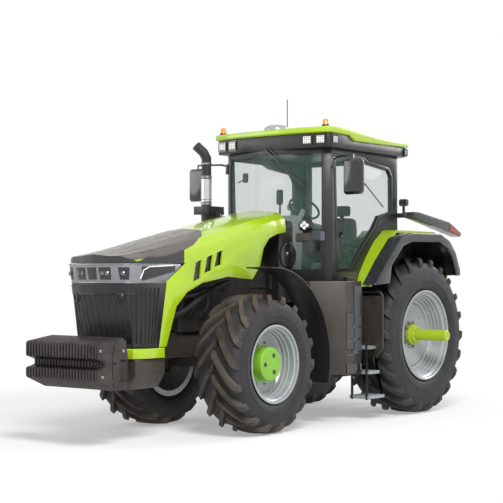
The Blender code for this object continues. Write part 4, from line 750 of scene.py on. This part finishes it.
def nose():
    """Grille mesh and fins, and the lamp band with its cells and lenses, on the opening hood."""
    low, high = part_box("grille")
    bottom, top = low.z + 0.03, high.z - 0.015
    mesh_lines = []
    for i in range(44):
        x = -0.40 + 0.80 * i / 43
        mesh_lines.append(line_on("grille", "front", [(x, bottom + 0.03), (x, top - 0.10)], 0.0028, 8, 0.001, 5))
    for i in range(30):
        z = bottom + 0.03 + (top - bottom - 0.13) * i / 29
        mesh_lines.append(nose_line("grille", [(-50, z), (50, z)], 0.0022, 0.001, 20, 4))
    keep("grille_mesh", present(mesh_lines), "black_gloss", "hood")
    fins = []
    for turn in (0, 9, 18, 26, 33, 39):
        for side in (1, -1) if turn else (1,):
            fins.append(nose_line("grille", [(side * turn, bottom + 0.01), (side * turn, top - 0.085)], 0.006, 0.002, 10, 6))
    for side in (1, -1):
        for start, end in ((46, 45), (51, 50), (56, 56), (61, 62), (66, 69), (71, 76), (75, 83)):
            fins.append(nose_line("grille", [(side * start, bottom + 0.01), (side * end, top - 0.03)], 0.011, 0.001, 10, 8))
    for z in (bottom, top - 0.09):
        fins.append(nose_line("grille", [(-72, z), (72, z)], 0.010, 0.0, 40, 8))
    keep("grille_fins", present(fins), "dark_plastic", "hood")
    panel = nose_sheet("grille", (-46, 46), (top - 0.085, top), 0.012)
    keep("grille_top_panel", panel, "dark_plastic", "hood")
    rings, glasses = [], []
    for x in (-0.32, 0.32):
        hit, normal = touch("grille", "front", x, 1.515)
        turn = Vector((0, 0, 1)).rotation_difference(normal).to_matrix().to_4x4()
        ring = turned([(0.026, 0.016), (0.044, 0.018), (0.052, 0.010), (0.054, -0.006), (0.026, -0.006)], "Z", (0, 0), 32)
        lens = turned([(0, 0.012), (0.018, 0.010), (0.026, 0.005), (0.026, -0.004), (0, -0.004)], "Z", (0, 0), 24)
        for mesh, found in ((ring, rings), (lens, glasses)):
            mesh.transform(Matrix.Translation(hit) @ turn)
            found.append(mesh)
    keep("nose_rings", merged(rings), "dark_plastic", "hood")
    keep("nose_ring_glass", merged(glasses), "black_gloss", "hood")

    band_low, band_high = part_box("headlamp_band")
    low, high = band_low.z + 0.040, band_high.z - 0.040
    cells, lenses = [], []
    for left, right in ((-0.43, -0.335), (-0.25, -0.10), (-0.065, 0.065), (0.10, 0.25), (0.335, 0.43)):
        cells.append(skin("headlamp_band", "front", [(left + 0.01, low), (right - 0.01, low), (right, high), (left, high)],
                          0.005, 6, 5, 0.0, 0.002))
        middle, z = (left + right) / 2, (low + high) / 2
        spots = (middle - 0.03, middle + 0.03) if 0.08 < abs(middle) < 0.3 else (middle,)
        for x in spots if abs(middle) > 0.05 else ():
            hit, normal = touch("headlamp_band", "front", x, z)
            lens = turned([(0, 0.016), (0.018, 0.013), (0.026, 0.004), (0.026, -0.004), (0, -0.004)], "Z", (0, 0), 24)
            turn = Vector((0, 0, 1)).rotation_difference(normal).to_matrix().to_4x4()
            lens.transform(Matrix.Translation(hit + normal * 0.004) @ turn)
            lenses.append(lens)
    keep("lamp_cells", present(cells), "black_gloss", "hood")
    keep("lamp_lenses", merged(lenses), "chrome_strip", "hood")
    trims = [nose_line("headlamp_band", [(-80, z), (80, z)], 0.007, 0.0, 44, 8) for z in (band_low.z + 0.010, band_high.z - 0.008)]
    keep("lamp_trims", present(trims), "band_grey", "hood")
    for word, side in SIDES.items():
        lamp = nose_sheet("headlamp_band", (side * 56, side * 112), ((band_low.z + 0.03, 1.79), (band_high.z - 0.03, 1.845)), 0.006)
        keep("side_lamp_" + word, lamp, "black_gloss", "hood")
        edge = nose_line("headlamp_band", [(side * 54, band_low.z + 0.05), (side * 58, 1.80), (side * 66, 1.835), (side * 108, 1.85)],
                         0.006, 0.008, 8, 8)
        keep("side_lamp_edge_" + word, edge, "lamp_white", "hood")


def insert_half_width(y):
    """Half the width of the hood's dark insert, at a place behind the front axle's line."""
    line = [(-1.756, 0.08), (-1.735, 0.22), (-1.69, 0.375), (-1.60, 0.434), (-1.40, 0.443), (-1.10, 0.453), (-0.90, 0.455), (-0.60, 0.415),
            (-0.42, 0.345), (-0.34, 0.265)]
    for (y0, w0), (y1, w1) in zip(line, line[1:]):
        if y <= y1:
            return w0 + (w1 - w0) * (y - y0) / (y1 - y0)
    return line[-1][1]


def hood_insert():
    """The dark top of the nose: a sheet over the painted hood, as wide as the nose in front and narrower behind."""
    stations = [-1.756, -1.735, -1.71, -1.69, -1.65, -1.60, -1.50, -1.40] + [-1.30 + 0.08 * k for k in range(13)]
    columns = 28
    shape = bmesh.new()
    layers = []
    for lift in (0.013, -0.004):
        rows = []
        for y in stations:
            half = insert_half_width(y)
            row = []
            for i in range(columns + 1):
                share = math.sin(math.pi / 2 * (2 * i / columns - 1))
                hit, normal = touch("hood", "top", share * half, FRONT_Y + y)
                if hit is None:
                    hit, normal = touch("hood", "top", share * half * 0.97, FRONT_Y + y + 0.01)
                if hit is None:
                    shape.free()
                    return None
                row.append(shape.verts.new(hit + Vector((0, 0, lift))))
            rows.append(row)
        layers.append(rows)
    tops, feet = layers
    last = len(stations) - 1
    for rows in layers:
        for j in range(last):
            for i in range(columns):
                shape.faces.new((rows[j][i], rows[j][i + 1], rows[j + 1][i + 1], rows[j + 1][i]))
    border = [(0, i) for i in range(columns)] + [(j, columns) for j in range(last)]
    border += [(last, i) for i in range(columns, 0, -1)] + [(j, 0) for j in range(last, 0, -1)]
    for (j, i), (l, k) in zip(border, border[1:] + border[:1]):
        shape.faces.new((tops[j][i], tops[l][k], feet[l][k], feet[j][i]))
    bmesh.ops.recalc_face_normals(shape, faces=shape.faces)
    return mesh_from(shape)


def hood_lip():
    """The dark band between the lamps and the insert, wrapped round the nose and along its sides."""
    half = curved([(0.470, -0.86, 0), (0.465, -1.10, 0), (0.453, -1.40, 0), (0.446, -1.60, 0), (0.398, -1.685, 0),
                   (0.205, -1.747, 0), (0, -1.764, 0)], 5)
    plan = [(point.x, point.y) for point in half]
    plan += [(-x, y) for x, y in reversed(plan[:-1])]
    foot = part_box("headlamp_band")[1].z + 0.005
    sections = []
    for x, y in plan:
        hit, _ = touch("hood", "top", x * 0.955, FRONT_Y + max(y, -1.735) + 0.014)
        top = (hit.z if hit else 1.93) + 0.015
        outer = (x * 1.006, FRONT_Y + y - (0.006 if y < -1.6 else 0.0))
        inner = (x * 0.93, FRONT_Y + y + (0.030 if y < -1.6 else 0.0))
        sections.append([(*outer, foot), (*outer, top - 0.006), (*inner, top), (*inner, foot)])
    return lofted(sections)


def hood_dress():
    """The hood's painted shell, its dark insert with long ridges, the dark lip under it, and the backs of its vents."""
    dressed("hood", "green_paint", 0.008, 30, 2, 25)
    keep("hood_insert", hood_insert(), "insert_plastic", "hood", sharp=60)
    ridges = []
    for share, start, end in ((-0.80, -1.50, -0.62), (-0.52, -1.58, -0.50), (-0.24, -1.62, -0.42), (0.24, -1.62, -0.42),
                              (0.52, -1.58, -0.50), (0.80, -1.50, -0.62)):
        line = [(share * insert_half_width(y), FRONT_Y + y) for y in (start, (start + end) / 2, end)]
        ridges.append(line_on("hood", "top", line, 0.008, 12, 0.006, 8))
    for share in (-0.38, -0.30, -0.22, -0.14, 0.14, 0.22, 0.30, 0.38):
        ridges.append(line_on("hood", "top", [(share, FRONT_Y - 1.66 + 0.22 * abs(share)), (share * 0.92, FRONT_Y - 1.44)],
                              0.006, 8, 0.006, 8))
    keep("hood_ridges", present(ridges), "insert_plastic", "hood")
    keep("hood_lip", hood_lip(), "grey_plastic", "hood", sharp=60)
    outline = [(FRONT_Y + y, z) for y, z in ((-0.78, 1.64), (-0.18, 1.80), (-0.18, 2.02), (-0.50, 1.96), (-0.78, 1.885))]
    backs = [slab(outline, "X", *sorted((side * 0.445, side * 0.455)), 0.0) for side in (1, -1)]
    keep("vent_backs", merged(backs), "black_gloss", "hood")


weights()
nose()
hood_dress()

# ---------------------------------------------------------------- the other CAD pieces, dressed
for node, finish, width in (
    ("weight_carrier", "cast_iron", 0.010), ("front_frame", "brown_plastic", 0.014), ("front_bar", "green_paint", 0.008),
    ("radiator", "dark_plastic", 0.006), ("engine_block", "cast_iron", 0.02), ("transmission", "cast_iron", 0.008),
    ("rear_axle", "cast_iron", 0.008), ("drawbar", "cast_iron", 0.006), ("front_axle", "cast_iron", 0.008),
    ("knuckle_left", "cast_iron", 0.004), ("knuckle_right", "cast_iron", 0.004), ("cowl", "dark_plastic", 0.006),
    ("exhaust", "dark_plastic", 0.004), ("cab_floor", "dark_plastic", 0.006), ("cab_frame", "dark_plastic", 0.005),
    ("roof", "green_paint", 0.006), ("roof_visor", "dark_plastic", 0.006), ("seat_base", "dark_plastic", 0.006),
    ("steering_console", "console_grey", 0.012), ("steering_wheel", "dark_plastic", 0.002), ("steps", "dark_plastic", 0.002),
    ("step_guard", "brown_plastic", 0.002), ("gps_receiver", "silver_rim", 0.004), ("antenna", "dark_plastic", 0.001),
    ("grille", "dark_plastic", 0.005), ("headlamp_band", "band_grey", 0.006), ("door_frame", "dark_plastic", 0.004),
    ("lower_links", "cast_iron", 0.005), ("fuel_tank", "brown_plastic", 0.020), ("right_tank", "brown_plastic", 0.020),
    ("fender_flare_left", "grey_plastic", 0.010), ("fender_flare_right", "grey_plastic", 0.010),
    ("tail_lamp_left", "grey_plastic", 0.010), ("tail_lamp_right", "grey_plastic", 0.010),
    ("mirror_left", "black_gloss", 0.004), ("mirror_right", "black_gloss", 0.004),
    ("beacon_left", "amber_lens", 0.002), ("beacon_right", "amber_lens", 0.002),
    ("front_fender_left", "dark_plastic", 0.004), ("front_fender_right", "dark_plastic", 0.004),
):
    dressed(node, finish, width)
for node in ("windshield", "rear_window", "right_window", "door_glass"):
    dressed(node, "tinted_glass", 0.001)


# ---------------------------------------------------------------- rear fenders
def cut_at(shape, x, keep_above):
    """Keeps the part of a closed shape beyond a plane across X, and closes the cut."""
    made = bmesh.ops.bisect_plane(
        shape, geom=shape.verts[:] + shape.edges[:] + shape.faces[:], plane_co=(x, 0, 0), plane_no=(1, 0, 0),
        clear_inner=keep_above, clear_outer=not keep_above,
    )
    edges = [item for item in made["geom_cut"] if isinstance(item, bmesh.types.BMEdge)]
    bmesh.ops.holes_fill(shape, edges=edges, sides=0)
    bmesh.ops.recalc_face_normals(shape, faces=shape.faces)
    return mesh_from(shape)


def rear_fender(word, side):
    """The green-painted arch outside the cab, its dark part inside the cab, and a dark sheet over the arch's underside
    and its wall facing the tyre, which is painted shade.
    """
    node = "rear_fender_" + word
    wall = side * 0.80
    outside = cut_at(joined_copy(node), wall, side > 0)
    inside = cut_at(joined_copy(node), wall, side < 0)
    keep(node + "_shell", outside, "green_paint", "chassis", (node,), 30)
    keep(node + "_cab_side", inside, "grey_plastic", "chassis", (), 30)
    # The faces under the arch and the wall facing the tyre get a dark sheet: this is painted shade under the fender.
    shape = joined_copy(node)
    middle = Vector((0, *REAR_AXLE))
    spare = []
    for face in shape.faces:
        centre = face.calc_center_median()
        inward = (middle - Vector((0, centre.y, centre.z))).normalized()
        under = face.normal.dot(inward) > 0.5
        wall_side = face.normal.x * side > 0.9 and abs(centre.x) < 0.6
        if not (under or wall_side):
            spare.append(face)
    bmesh.ops.delete(shape, geom=spare, context="FACES")
    painted_shade_sheet = bpy.data.objects.new(node + " work", mesh_from(shape))
    bpy.context.scene.collection.objects.link(painted_shade_sheet)
    sheet = painted_shade_sheet.modifiers.new("sheet", "SOLIDIFY")
    sheet.thickness, sheet.offset = 0.005, 1.0
    bpy.context.view_layer.update()
    made = bpy.data.meshes.new_from_object(painted_shade_sheet.evaluated_get(bpy.context.evaluated_depsgraph_get()))
    bpy.data.objects.remove(painted_shade_sheet)
    # The dark finish on this underside sheet is painted shade.
    keep(node + "_liner", made, "dark_plastic", "chassis", (), 30)


for word, side in SIDES.items():
    rear_fender(word, side)


# ---------------------------------------------------------------- seat
def seat():
    """Cushion, bolsters, backrest and headrest as crowned pads."""
    low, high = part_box("seat_cushion")
    pads = []
    for name, start, end in (
        ("seat_pad", (-0.235, low.y + 0.01, low.z + 0.005), (0.235, high.y - 0.13, low.z + 0.125)),
        ("back_pad", (-0.23, high.y - 0.125, low.z + 0.10), (0.23, high.y - 0.01, high.z - 0.16)),
        ("head_pad", (-0.13, high.y - 0.10, high.z - 0.15), (0.13, high.y - 0.015, high.z - 0.005)),
    ):
        shape = bmesh.new()
        bmesh.ops.create_cube(shape, size=1.0)
        bmesh.ops.subdivide_edges(shape, edges=shape.edges, cuts=7, use_grid_fill=True)
        centre = (Vector(start) + Vector(end)) / 2
        size = Vector(end) - Vector(start)
        for vertex in shape.verts:
            x, y, z = vertex.co * 2
            crown = 1 - 0.10 * (x * x + y * y + z * z) / 3
            rounding = 1 - 0.055 * (x ** 4 * y ** 4 + y ** 4 * z ** 4 + x ** 4 * z ** 4)
            channel = 1 - 0.05 * math.exp(-((abs(x) - 0.62) / 0.05) ** 2)
            vertex.co = Vector((x * size.x / 2 * rounding, y * size.y / 2 * crown * rounding, z * size.z / 2 * crown * channel * rounding))
            vertex.co += centre
        mesh = mesh_from(shape)
        pad = keep(name, mesh, "seat_cloth", "chassis", ("seat_cushion",) if name == "seat_pad" else (), 80)
        rounder = pad.modifiers.new("rounder", "SUBSURF")
        rounder.levels = rounder.render_levels = 1
        pads.append(pad)
    return pads


seat()


# ---------------------------------------------------------------- cab fittings
def lamp_on(node, look, a, b, width, height, housings, lenses):
    """A square work lamp facing out from a surface: a dark housing and a pale lens with a fine grid."""
    hit, normal = touch(node, look, a, b)
    if hit is None:
        return
    normal = Vector((normal.x, normal.y, 0)).normalized()
    turn = Matrix.Rotation(math.atan2(normal.x, -normal.y), 4, "Z")
    move = Matrix.Translation(hit) @ turn
    for low, high, found in (
        ((-width / 2, -0.016, -height / 2), (width / 2, 0.03, height / 2), housings),
        ((-width / 2 + 0.018, -0.022, -height / 2 + 0.018), (width / 2 - 0.018, -0.006, height / 2 - 0.018), lenses),
    ):
        mesh = block(low, high, 0.010)
        mesh.transform(move)
        found.append(mesh)
    for k in range(3):
        place = (k - 1) * (width - 0.036) / 4
        for low, high in (((place - 0.0015, -0.025, -height / 2 + 0.02), (place + 0.0015, -0.015, height / 2 - 0.02)),
                          ((-width / 2 + 0.02, -0.025, place - 0.0015), (width / 2 - 0.02, -0.015, place + 0.0015))):
            mesh = block(low, high, 0.0)
            mesh.transform(move)
            housings.append(mesh)


def cab_fittings():
    """Lamps, wipers, mirrors, console parts and the boxes beside the windshield."""
    visor_low, visor_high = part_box("roof_visor")
    housings, lenses = [], []
    for side in (1, -1):
        for x in (0.575, 0.755):
            lamp_on("roof_visor", "front", side * x, 3.375, 0.150, 0.135, housings, lenses)
        for x in (0.50, 0.68):
            lamp_on("roof_visor", "back", side * x, 3.350, 0.140, 0.110, housings, lenses)
        look = "left" if side > 0 else "right"
        lamp_on("roof_visor", look, visor_low.y + 0.16, 3.375, 0.130, 0.125, housings, lenses)
        lamp_on("roof_visor", look, visor_high.y - 0.09, 3.340, 0.100, 0.100, housings, lenses)
    keep("work_lamp_housings", merged(housings), "black_gloss", "chassis")
    keep("work_lamp_lenses", merged(lenses), "lamp_white", "chassis")
    pane = REAR_Y - 1.765
    wiper = [
        pipe([(-0.045, pane, 3.30), (0.27, pane - 0.012, 3.05), (0.545, pane + 0.03, 2.81)], 0.009),
        pipe([(0.000, pane, 3.32), (0.30, pane - 0.012, 3.07), (0.565, pane + 0.03, 2.83)], 0.007),
        pipe([(0.575, pane + 0.035, 3.14), (0.556, pane + 0.035, 2.45)], 0.010),
        pipe([(0.246, REAR_Y + 0.062, 2.947), (0.514, REAR_Y + 0.062, 2.644)], 0.009),
        pipe([(0.246, REAR_Y + 0.062, 2.947), (0.246, REAR_Y + 0.020, 2.960)], 0.014),
    ]
    keep("wipers", merged(wiper), "black_gloss", "chassis")
    handle = pipe(curved([(0.803, REAR_Y - 1.36, 2.26), (0.845, REAR_Y - 1.36, 2.27), (0.845, REAR_Y - 1.36, 2.44),
                          (0.803, REAR_Y - 1.36, 2.45)]), 0.012)
    lock = block((0.80, REAR_Y - 1.39, 2.20), (0.825, REAR_Y - 1.33, 2.28), 0.008)
    keep("door_handle", merged([handle, lock]), "black_gloss", "left_door")
    bases = []
    for word in SIDES:
        low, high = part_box("beacon_" + word)
        middle = (low + high) / 2
        bases.append(turned([(0, low.z + 0.022), (0.044, low.z + 0.022), (0.050, low.z + 0.001), (0, low.z + 0.001)], "Z",
                            (middle.x, middle.y), 32))
    keep("beacon_bases", merged(bases), "dark_plastic", "chassis")
    for word, side in SIDES.items():
        x = side * 1.20
        mirror = block((x - 0.105, REAR_Y - 1.618, 2.73), (x + 0.105, REAR_Y - 1.612, 3.09), 0.002)
        keep("mirror_glass_" + word, mirror, "bright_metal", "chassis")
        lens = slab([(REAR_Y + 0.84, 2.42), (REAR_Y + 1.12, 2.31), (REAR_Y + 1.10, 2.285), (REAR_Y + 0.84, 2.35)], "X",
                    *sorted((side * 1.0701, side * 1.076)), 0.002)
        keep("tail_lens_" + word, lens, "red_lens", "chassis")
        work = [
            side_block(side, (0.84, REAR_Y - 0.09, 2.64), (0.95, REAR_Y - 0.01, 2.73), 0.012),
            side_block(side, (0.88, REAR_Y - 0.065, 2.53), (0.91, REAR_Y - 0.035, 2.65), 0.004),
        ]
        keep("rear_work_lamp_" + word, merged(work), "black_gloss", "chassis")
    inner = [
        pipe([(-0.68, REAR_Y - 1.50, 2.93), (-0.56, REAR_Y - 1.52, 2.96)], 0.008),
        block((-0.57, REAR_Y - 1.55, 2.92), (-0.48, REAR_Y - 1.53, 3.04), 0.010),
        pipe([(-0.16, REAR_Y - 1.30, 2.52), (-0.16, REAR_Y - 1.30, 2.66)], 0.012),
        block((-0.21, REAR_Y - 1.32, 2.64), (-0.11, REAR_Y - 1.29, 2.83), 0.012),
        block((0.30, REAR_Y - 1.05, 2.42), (0.33, REAR_Y - 0.85, 2.58), 0.006),
        pipe([(0.32, REAR_Y - 0.95, 2.44), (0.38, REAR_Y - 0.75, 2.15), (0.40, REAR_Y - 0.6, 1.80)], 0.020),
        block((0.30, REAR_Y - 0.62, 2.10), (0.46, REAR_Y - 0.20, 2.17), 0.02),
        pipe([(0.36, REAR_Y - 0.60, 2.15), (0.36, REAR_Y - 0.62, 2.27)], 0.018),
    ]
    keep("cab_inner_fittings", merged(inner), "dark_plastic", "chassis")
    face = REAR_Y - 1.66
    keep("corner_box_brown", block((0.44, face - 0.14, 2.150), (0.665, face - 0.075, 2.255), 0.012), "insert_plastic", "chassis")
    keep("corner_box_grey", block((0.667, face - 0.13, 2.160), (0.80, face - 0.02, 2.275), 0.010), "panel_blue", "chassis")
    oval = turned([(0, 0.02), (0.060, 0.018), (0.082, 0.006), (0.086, -0.03), (0.06, -0.05), (0, -0.05)], "Y", (0, 0), 32, -1)
    for mesh in (oval,):
        mesh.transform(Matrix.Translation((0.565, face - 0.105, 2.345)) @ Matrix.Diagonal((1.15, 1, 0.92, 1)))
    keep("corner_lamp", oval, "black_gloss", "chassis")
    spots = []
    for dx, dz in ((-0.04, 0.0), (0.0, 0.028), (0.04, 0.0), (0.0, -0.028)):
        spot = turned([(0, 0.014), (0.018, 0.012), (0.024, 0.0), (0, 0.0)], "Y", (0, 0), 16, -1)
        spot.transform(Matrix.Translation((0.565 + dx, face - 0.123, 2.345 + dz)))
        spots.append(spot)
    keep("corner_lamp_spots", merged(spots), "lamp_white", "chassis")
    plate = turned([(0, 0.040), (0.050, 0.038), (0.056, 0.030), (0.140, 0.028), (0.156, 0.016), (0.160, 0.0), (0, 0.0)], "X",
                   (REAR_Y - 1.90, 1.99), 48)
    plate.transform(Matrix.Translation((0.401, 0, 0)))
    keep("air_filter_cover", plate, "black_gloss", "chassis")


def tank_panels():
    """Front recess, side band with its slot, hooks and strips on the tanks, and bright treads on the steps."""
    for word, side in SIDES.items():
        node = "fuel_tank" if side > 0 else "right_tank"
        low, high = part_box(node)
        x = high.x if side > 0 else -low.x
        rear, front = high.y, low.y + 0.24
        band = side_block(side, (x - 0.004, rear - 0.17, 0.80), (x + 0.010, rear - 0.012, 1.62), 0.006)
        hooks = [side_block(side, (x - 0.002, rear - 0.215, z - 0.030), (x + 0.008, rear - 0.03, z + 0.030), 0.006)
                 for z in (1.13, 0.98, 0.83)]
        keep(node + "_band", merged([band] + hooks), "panel_blue", "chassis")
        slots = [side_block(side, (x + 0.006, rear - 0.055, 1.26), (x + 0.0125, rear - 0.035, 1.54), 0.003)]
        for z in (1.13, 0.98, 0.83):
            slots.append(side_block(side, (x + 0.006, rear - 0.10, z - 0.008), (x + 0.0125, rear - 0.035, z + 0.008), 0.002))
            slots.append(side_block(side, (x + 0.006, rear - 0.05, z - 0.022), (x + 0.0125, rear - 0.035, z + 0.008), 0.002))
        keep(node + "_slots", merged(slots), "rubber_seal", "chassis")
        dark = side_block(side, (x - 0.003, front + 0.010, 0.86), (x + 0.004, rear - 0.16, 1.30), 0.004)
        foot = side_block(side, (x - 0.003, front + 0.004, 0.575), (x + 0.008, rear - 0.006, 0.69), 0.006)
        keep(node + "_skirt", merged([dark, foot]), "black_gloss", "chassis")
        strips = [side_block(side, (x - 0.002, front + 0.008, z - 0.010), (x + 0.007, rear - 0.17, z + 0.010), 0.004)
                  for z in (0.96, 0.80)]
        keep(node + "_strips", merged(strips), "insert_plastic", "chassis")
        cap = turned([(0, 0.045), (0.05, 0.045), (0.06, 0.035), (0.06, 0.0), (0, 0.0)], "Z", (0, 0), 28)
        cap.transform(Matrix.Translation((side * (x - 0.09), rear - 0.16, high.z)))
        keep(node + "_cap", cap, "dark_plastic", "chassis")
    low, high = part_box("steps")
    treads = []
    for top, longer in ((0.89, 0.0), (0.59, 0.075), (0.29, 0.185)):
        reach = high.y - 0.185 + longer
        treads.append(block((low.x - 0.001, low.y + 0.001, top - 0.036), (high.x + 0.001, reach + 0.001, top + 0.004), 0.003))
        for k in range(5):
            x = low.x + 0.03 + k * (high.x - low.x - 0.06) / 4
            treads.append(block((x - 0.006, low.y + 0.02, top + 0.002), (x + 0.006, reach - 0.02, top + 0.008), 0.0))
    keep("step_treads", merged(treads), "silver_rim", "chassis")


def engine_bay():
    """Pipes, filters and hoses under the hood, and the bright clamped tube of the exhaust."""
    pieces = []
    for side in (1, -1):
        pieces.append(pipe(curved([(side * 0.24, FRONT_Y - 1.05, 1.25), (side * 0.30, FRONT_Y - 0.7, 1.35),
                                   (side * 0.27, FRONT_Y - 0.3, 1.52), (side * 0.20, FRONT_Y + 0.2, 1.66)]), 0.035))
        pieces.append(pipe(curved([(side * 0.22, FRONT_Y - 1.0, 1.50), (side * 0.33, FRONT_Y - 0.62, 1.52),
                                   (side * 0.24, FRONT_Y - 0.2, 1.58), (side * 0.20, FRONT_Y + 0.2, 1.60)]), 0.022))
        for k in range(3):
            pieces.append(pipe(curved([(side * 0.23, FRONT_Y - 0.75 + 0.22 * k, 1.30), (side * 0.31, FRONT_Y - 0.71 + 0.22 * k, 1.42),
                                       (side * 0.24, FRONT_Y - 0.67 + 0.22 * k, 1.60)], 4), 0.012, 8))
        can = turned([(0, 0.12), (0.055, 0.12), (0.06, 0.10), (0.06, -0.10), (0.05, -0.12), (0, -0.12)], "Z",
                     (side * 0.27, FRONT_Y - 0.85), 24)
        can.transform(Matrix.Translation((0, 0, 1.42)))
        pieces.append(can)
    keep("engine_pipes", merged(pieces), "cast_iron", "chassis")
    low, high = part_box("exhaust")
    x, y = -0.70, REAR_Y - 2.10
    rings = [turned([(0.062, z), (0.068, z), (0.068, z + width), (0.062, z + width)], "Z", (x, y), 40)
             for z, width in ((2.62, 0.03), (2.68, 0.012), (2.95, 0.03), (3.12, 0.02))]
    keep("exhaust_clamps", merged(rings), "steel", "chassis")
    sleeve = turned([(0.0625, 2.66), (0.0665, 2.66), (0.0665, 2.94), (0.0625, 2.94)], "Z", (x, y), 40)
    keep("exhaust_sleeve", sleeve, "bright_metal", "chassis")


cab_fittings()
tank_panels()
engine_bay()


# ---------------------------------------------------------------- floor, light and camera
def stage():
    made, tree, shader = shader_of("studio floor")
    tree.nodes.remove(shader)
    out = tree.nodes["Material Output"]
    add = tree.nodes.new
    diffuse, glow, lit, white, choice, ground = (
        add("ShaderNodeBsdfDiffuse"), add("ShaderNodeEmission"), add("ShaderNodeAddShader"), add("ShaderNodeEmission"),
        add("ShaderNodeMixShader"), add("ShaderNodeMixShader"),
    )
    diffuse.inputs["Color"].default_value = (0.62, 0.62, 0.62, 1)
    glow.inputs["Strength"].default_value = 0.34
    white.inputs["Strength"].default_value = 1.0
    where, length, spread = add("ShaderNodeTexCoord"), add("ShaderNodeVectorMath"), add("ShaderNodeMapRange")
    length.operation = "LENGTH"
    spread.inputs["From Min"].default_value = 3.4
    spread.inputs["From Max"].default_value = 6.5
    spread.interpolation_type = "SMOOTHSTEP"
    path, most, both = add("ShaderNodeLightPath"), add("ShaderNodeMath"), add("ShaderNodeMath")
    most.operation = both.operation = "MAXIMUM"
    plain = add("ShaderNodeBsdfDiffuse")
    plain.inputs["Color"].default_value = (0.8, 0.8, 0.8, 1)
    for start, end in (
        (where.outputs["Object"], length.inputs[0]),
        (length.outputs["Value"], spread.inputs["Value"]),
        (diffuse.outputs[0], lit.inputs[0]),
        (glow.outputs[0], lit.inputs[1]),
        (spread.outputs[0], choice.inputs["Fac"]),
        (lit.outputs[0], choice.inputs[1]),
        (white.outputs[0], choice.inputs[2]),
        (path.outputs["Is Camera Ray"], most.inputs[0]),
        (path.outputs["Is Glossy Ray"], most.inputs[1]),
        (most.outputs[0], both.inputs[0]),
        (path.outputs["Is Transmission Ray"], both.inputs[1]),
        (both.outputs[0], ground.inputs["Fac"]),
        (plain.outputs[0], ground.inputs[1]),
        (choice.outputs[0], ground.inputs[2]),
        (ground.outputs[0], out.inputs["Surface"]),
    ):
        tree.links.new(start, end)
    shape = bmesh.new()
    bmesh.ops.create_circle(shape, cap_ends=True, segments=96, radius=40)
    mesh = mesh_from(shape, "floor")
    mesh.materials.append(made)
    floor = bpy.data.objects.new("floor", mesh)
    floor.location.z = -0.001
    bpy.context.scene.collection.objects.link(floor)

    world = bpy.data.worlds.new("studio")
    bpy.context.scene.world = world
    world.use_nodes = True
    tree = world.node_tree
    back = tree.nodes["Background"]
    back.inputs["Color"].default_value = (1, 1, 1, 1)
    path, most, both, strength = (
        tree.nodes.new("ShaderNodeLightPath"), tree.nodes.new("ShaderNodeMath"), tree.nodes.new("ShaderNodeMath"),
        tree.nodes.new("ShaderNodeMapRange"),
    )
    most.operation = both.operation = "MAXIMUM"
    strength.inputs["To Min"].default_value = 0.40
    strength.inputs["To Max"].default_value = 1.0
    linked(tree, path.outputs["Is Camera Ray"], most.inputs[0])
    linked(tree, path.outputs["Is Glossy Ray"], most.inputs[1])
    linked(tree, most.outputs[0], both.inputs[0])
    linked(tree, path.outputs["Is Transmission Ray"], both.inputs[1])
    linked(tree, both.outputs[0], strength.inputs["Value"])
    linked(tree, strength.outputs[0], back.inputs["Strength"])


def lamp(name, where, aim, size, watts):
    data = bpy.data.lights.new(name, "AREA")
    data.shape = "DISK"
    data.size = size
    data.energy = watts
    obj = bpy.data.objects.new(name, data)
    bpy.context.scene.collection.objects.link(obj)
    obj.location = where
    obj.rotation_euler = (Vector(aim) - Vector(where)).to_track_quat("-Z", "Y").to_euler()


def camera():
    data = bpy.data.cameras.new("camera")
    data.sensor_width = 36.0
    data.lens = 91.97
    obj = bpy.data.objects.new("camera", data)
    bpy.context.scene.collection.objects.link(obj)
    obj.location = (9.553, FRONT_Y - 11.276, 1.723)
    obj.rotation_euler = (math.radians(90 + 1.156), 0, math.radians(38.086))
    bpy.context.scene.camera = obj


stage()
lamp("key", (6.5, -6.0, 9.0), (0, 0, 1.2), 4.0, 1050)
lamp("fill", (-8.0, -7.0, 5.0), (0, -0.5, 1.0), 6.0, 230)
lamp("rim", (3.0, 9.0, 6.5), (0, 1.0, 1.5), 5.0, 420)
camera()

scene = bpy.context.scene
scene.view_settings.view_transform = "Standard"
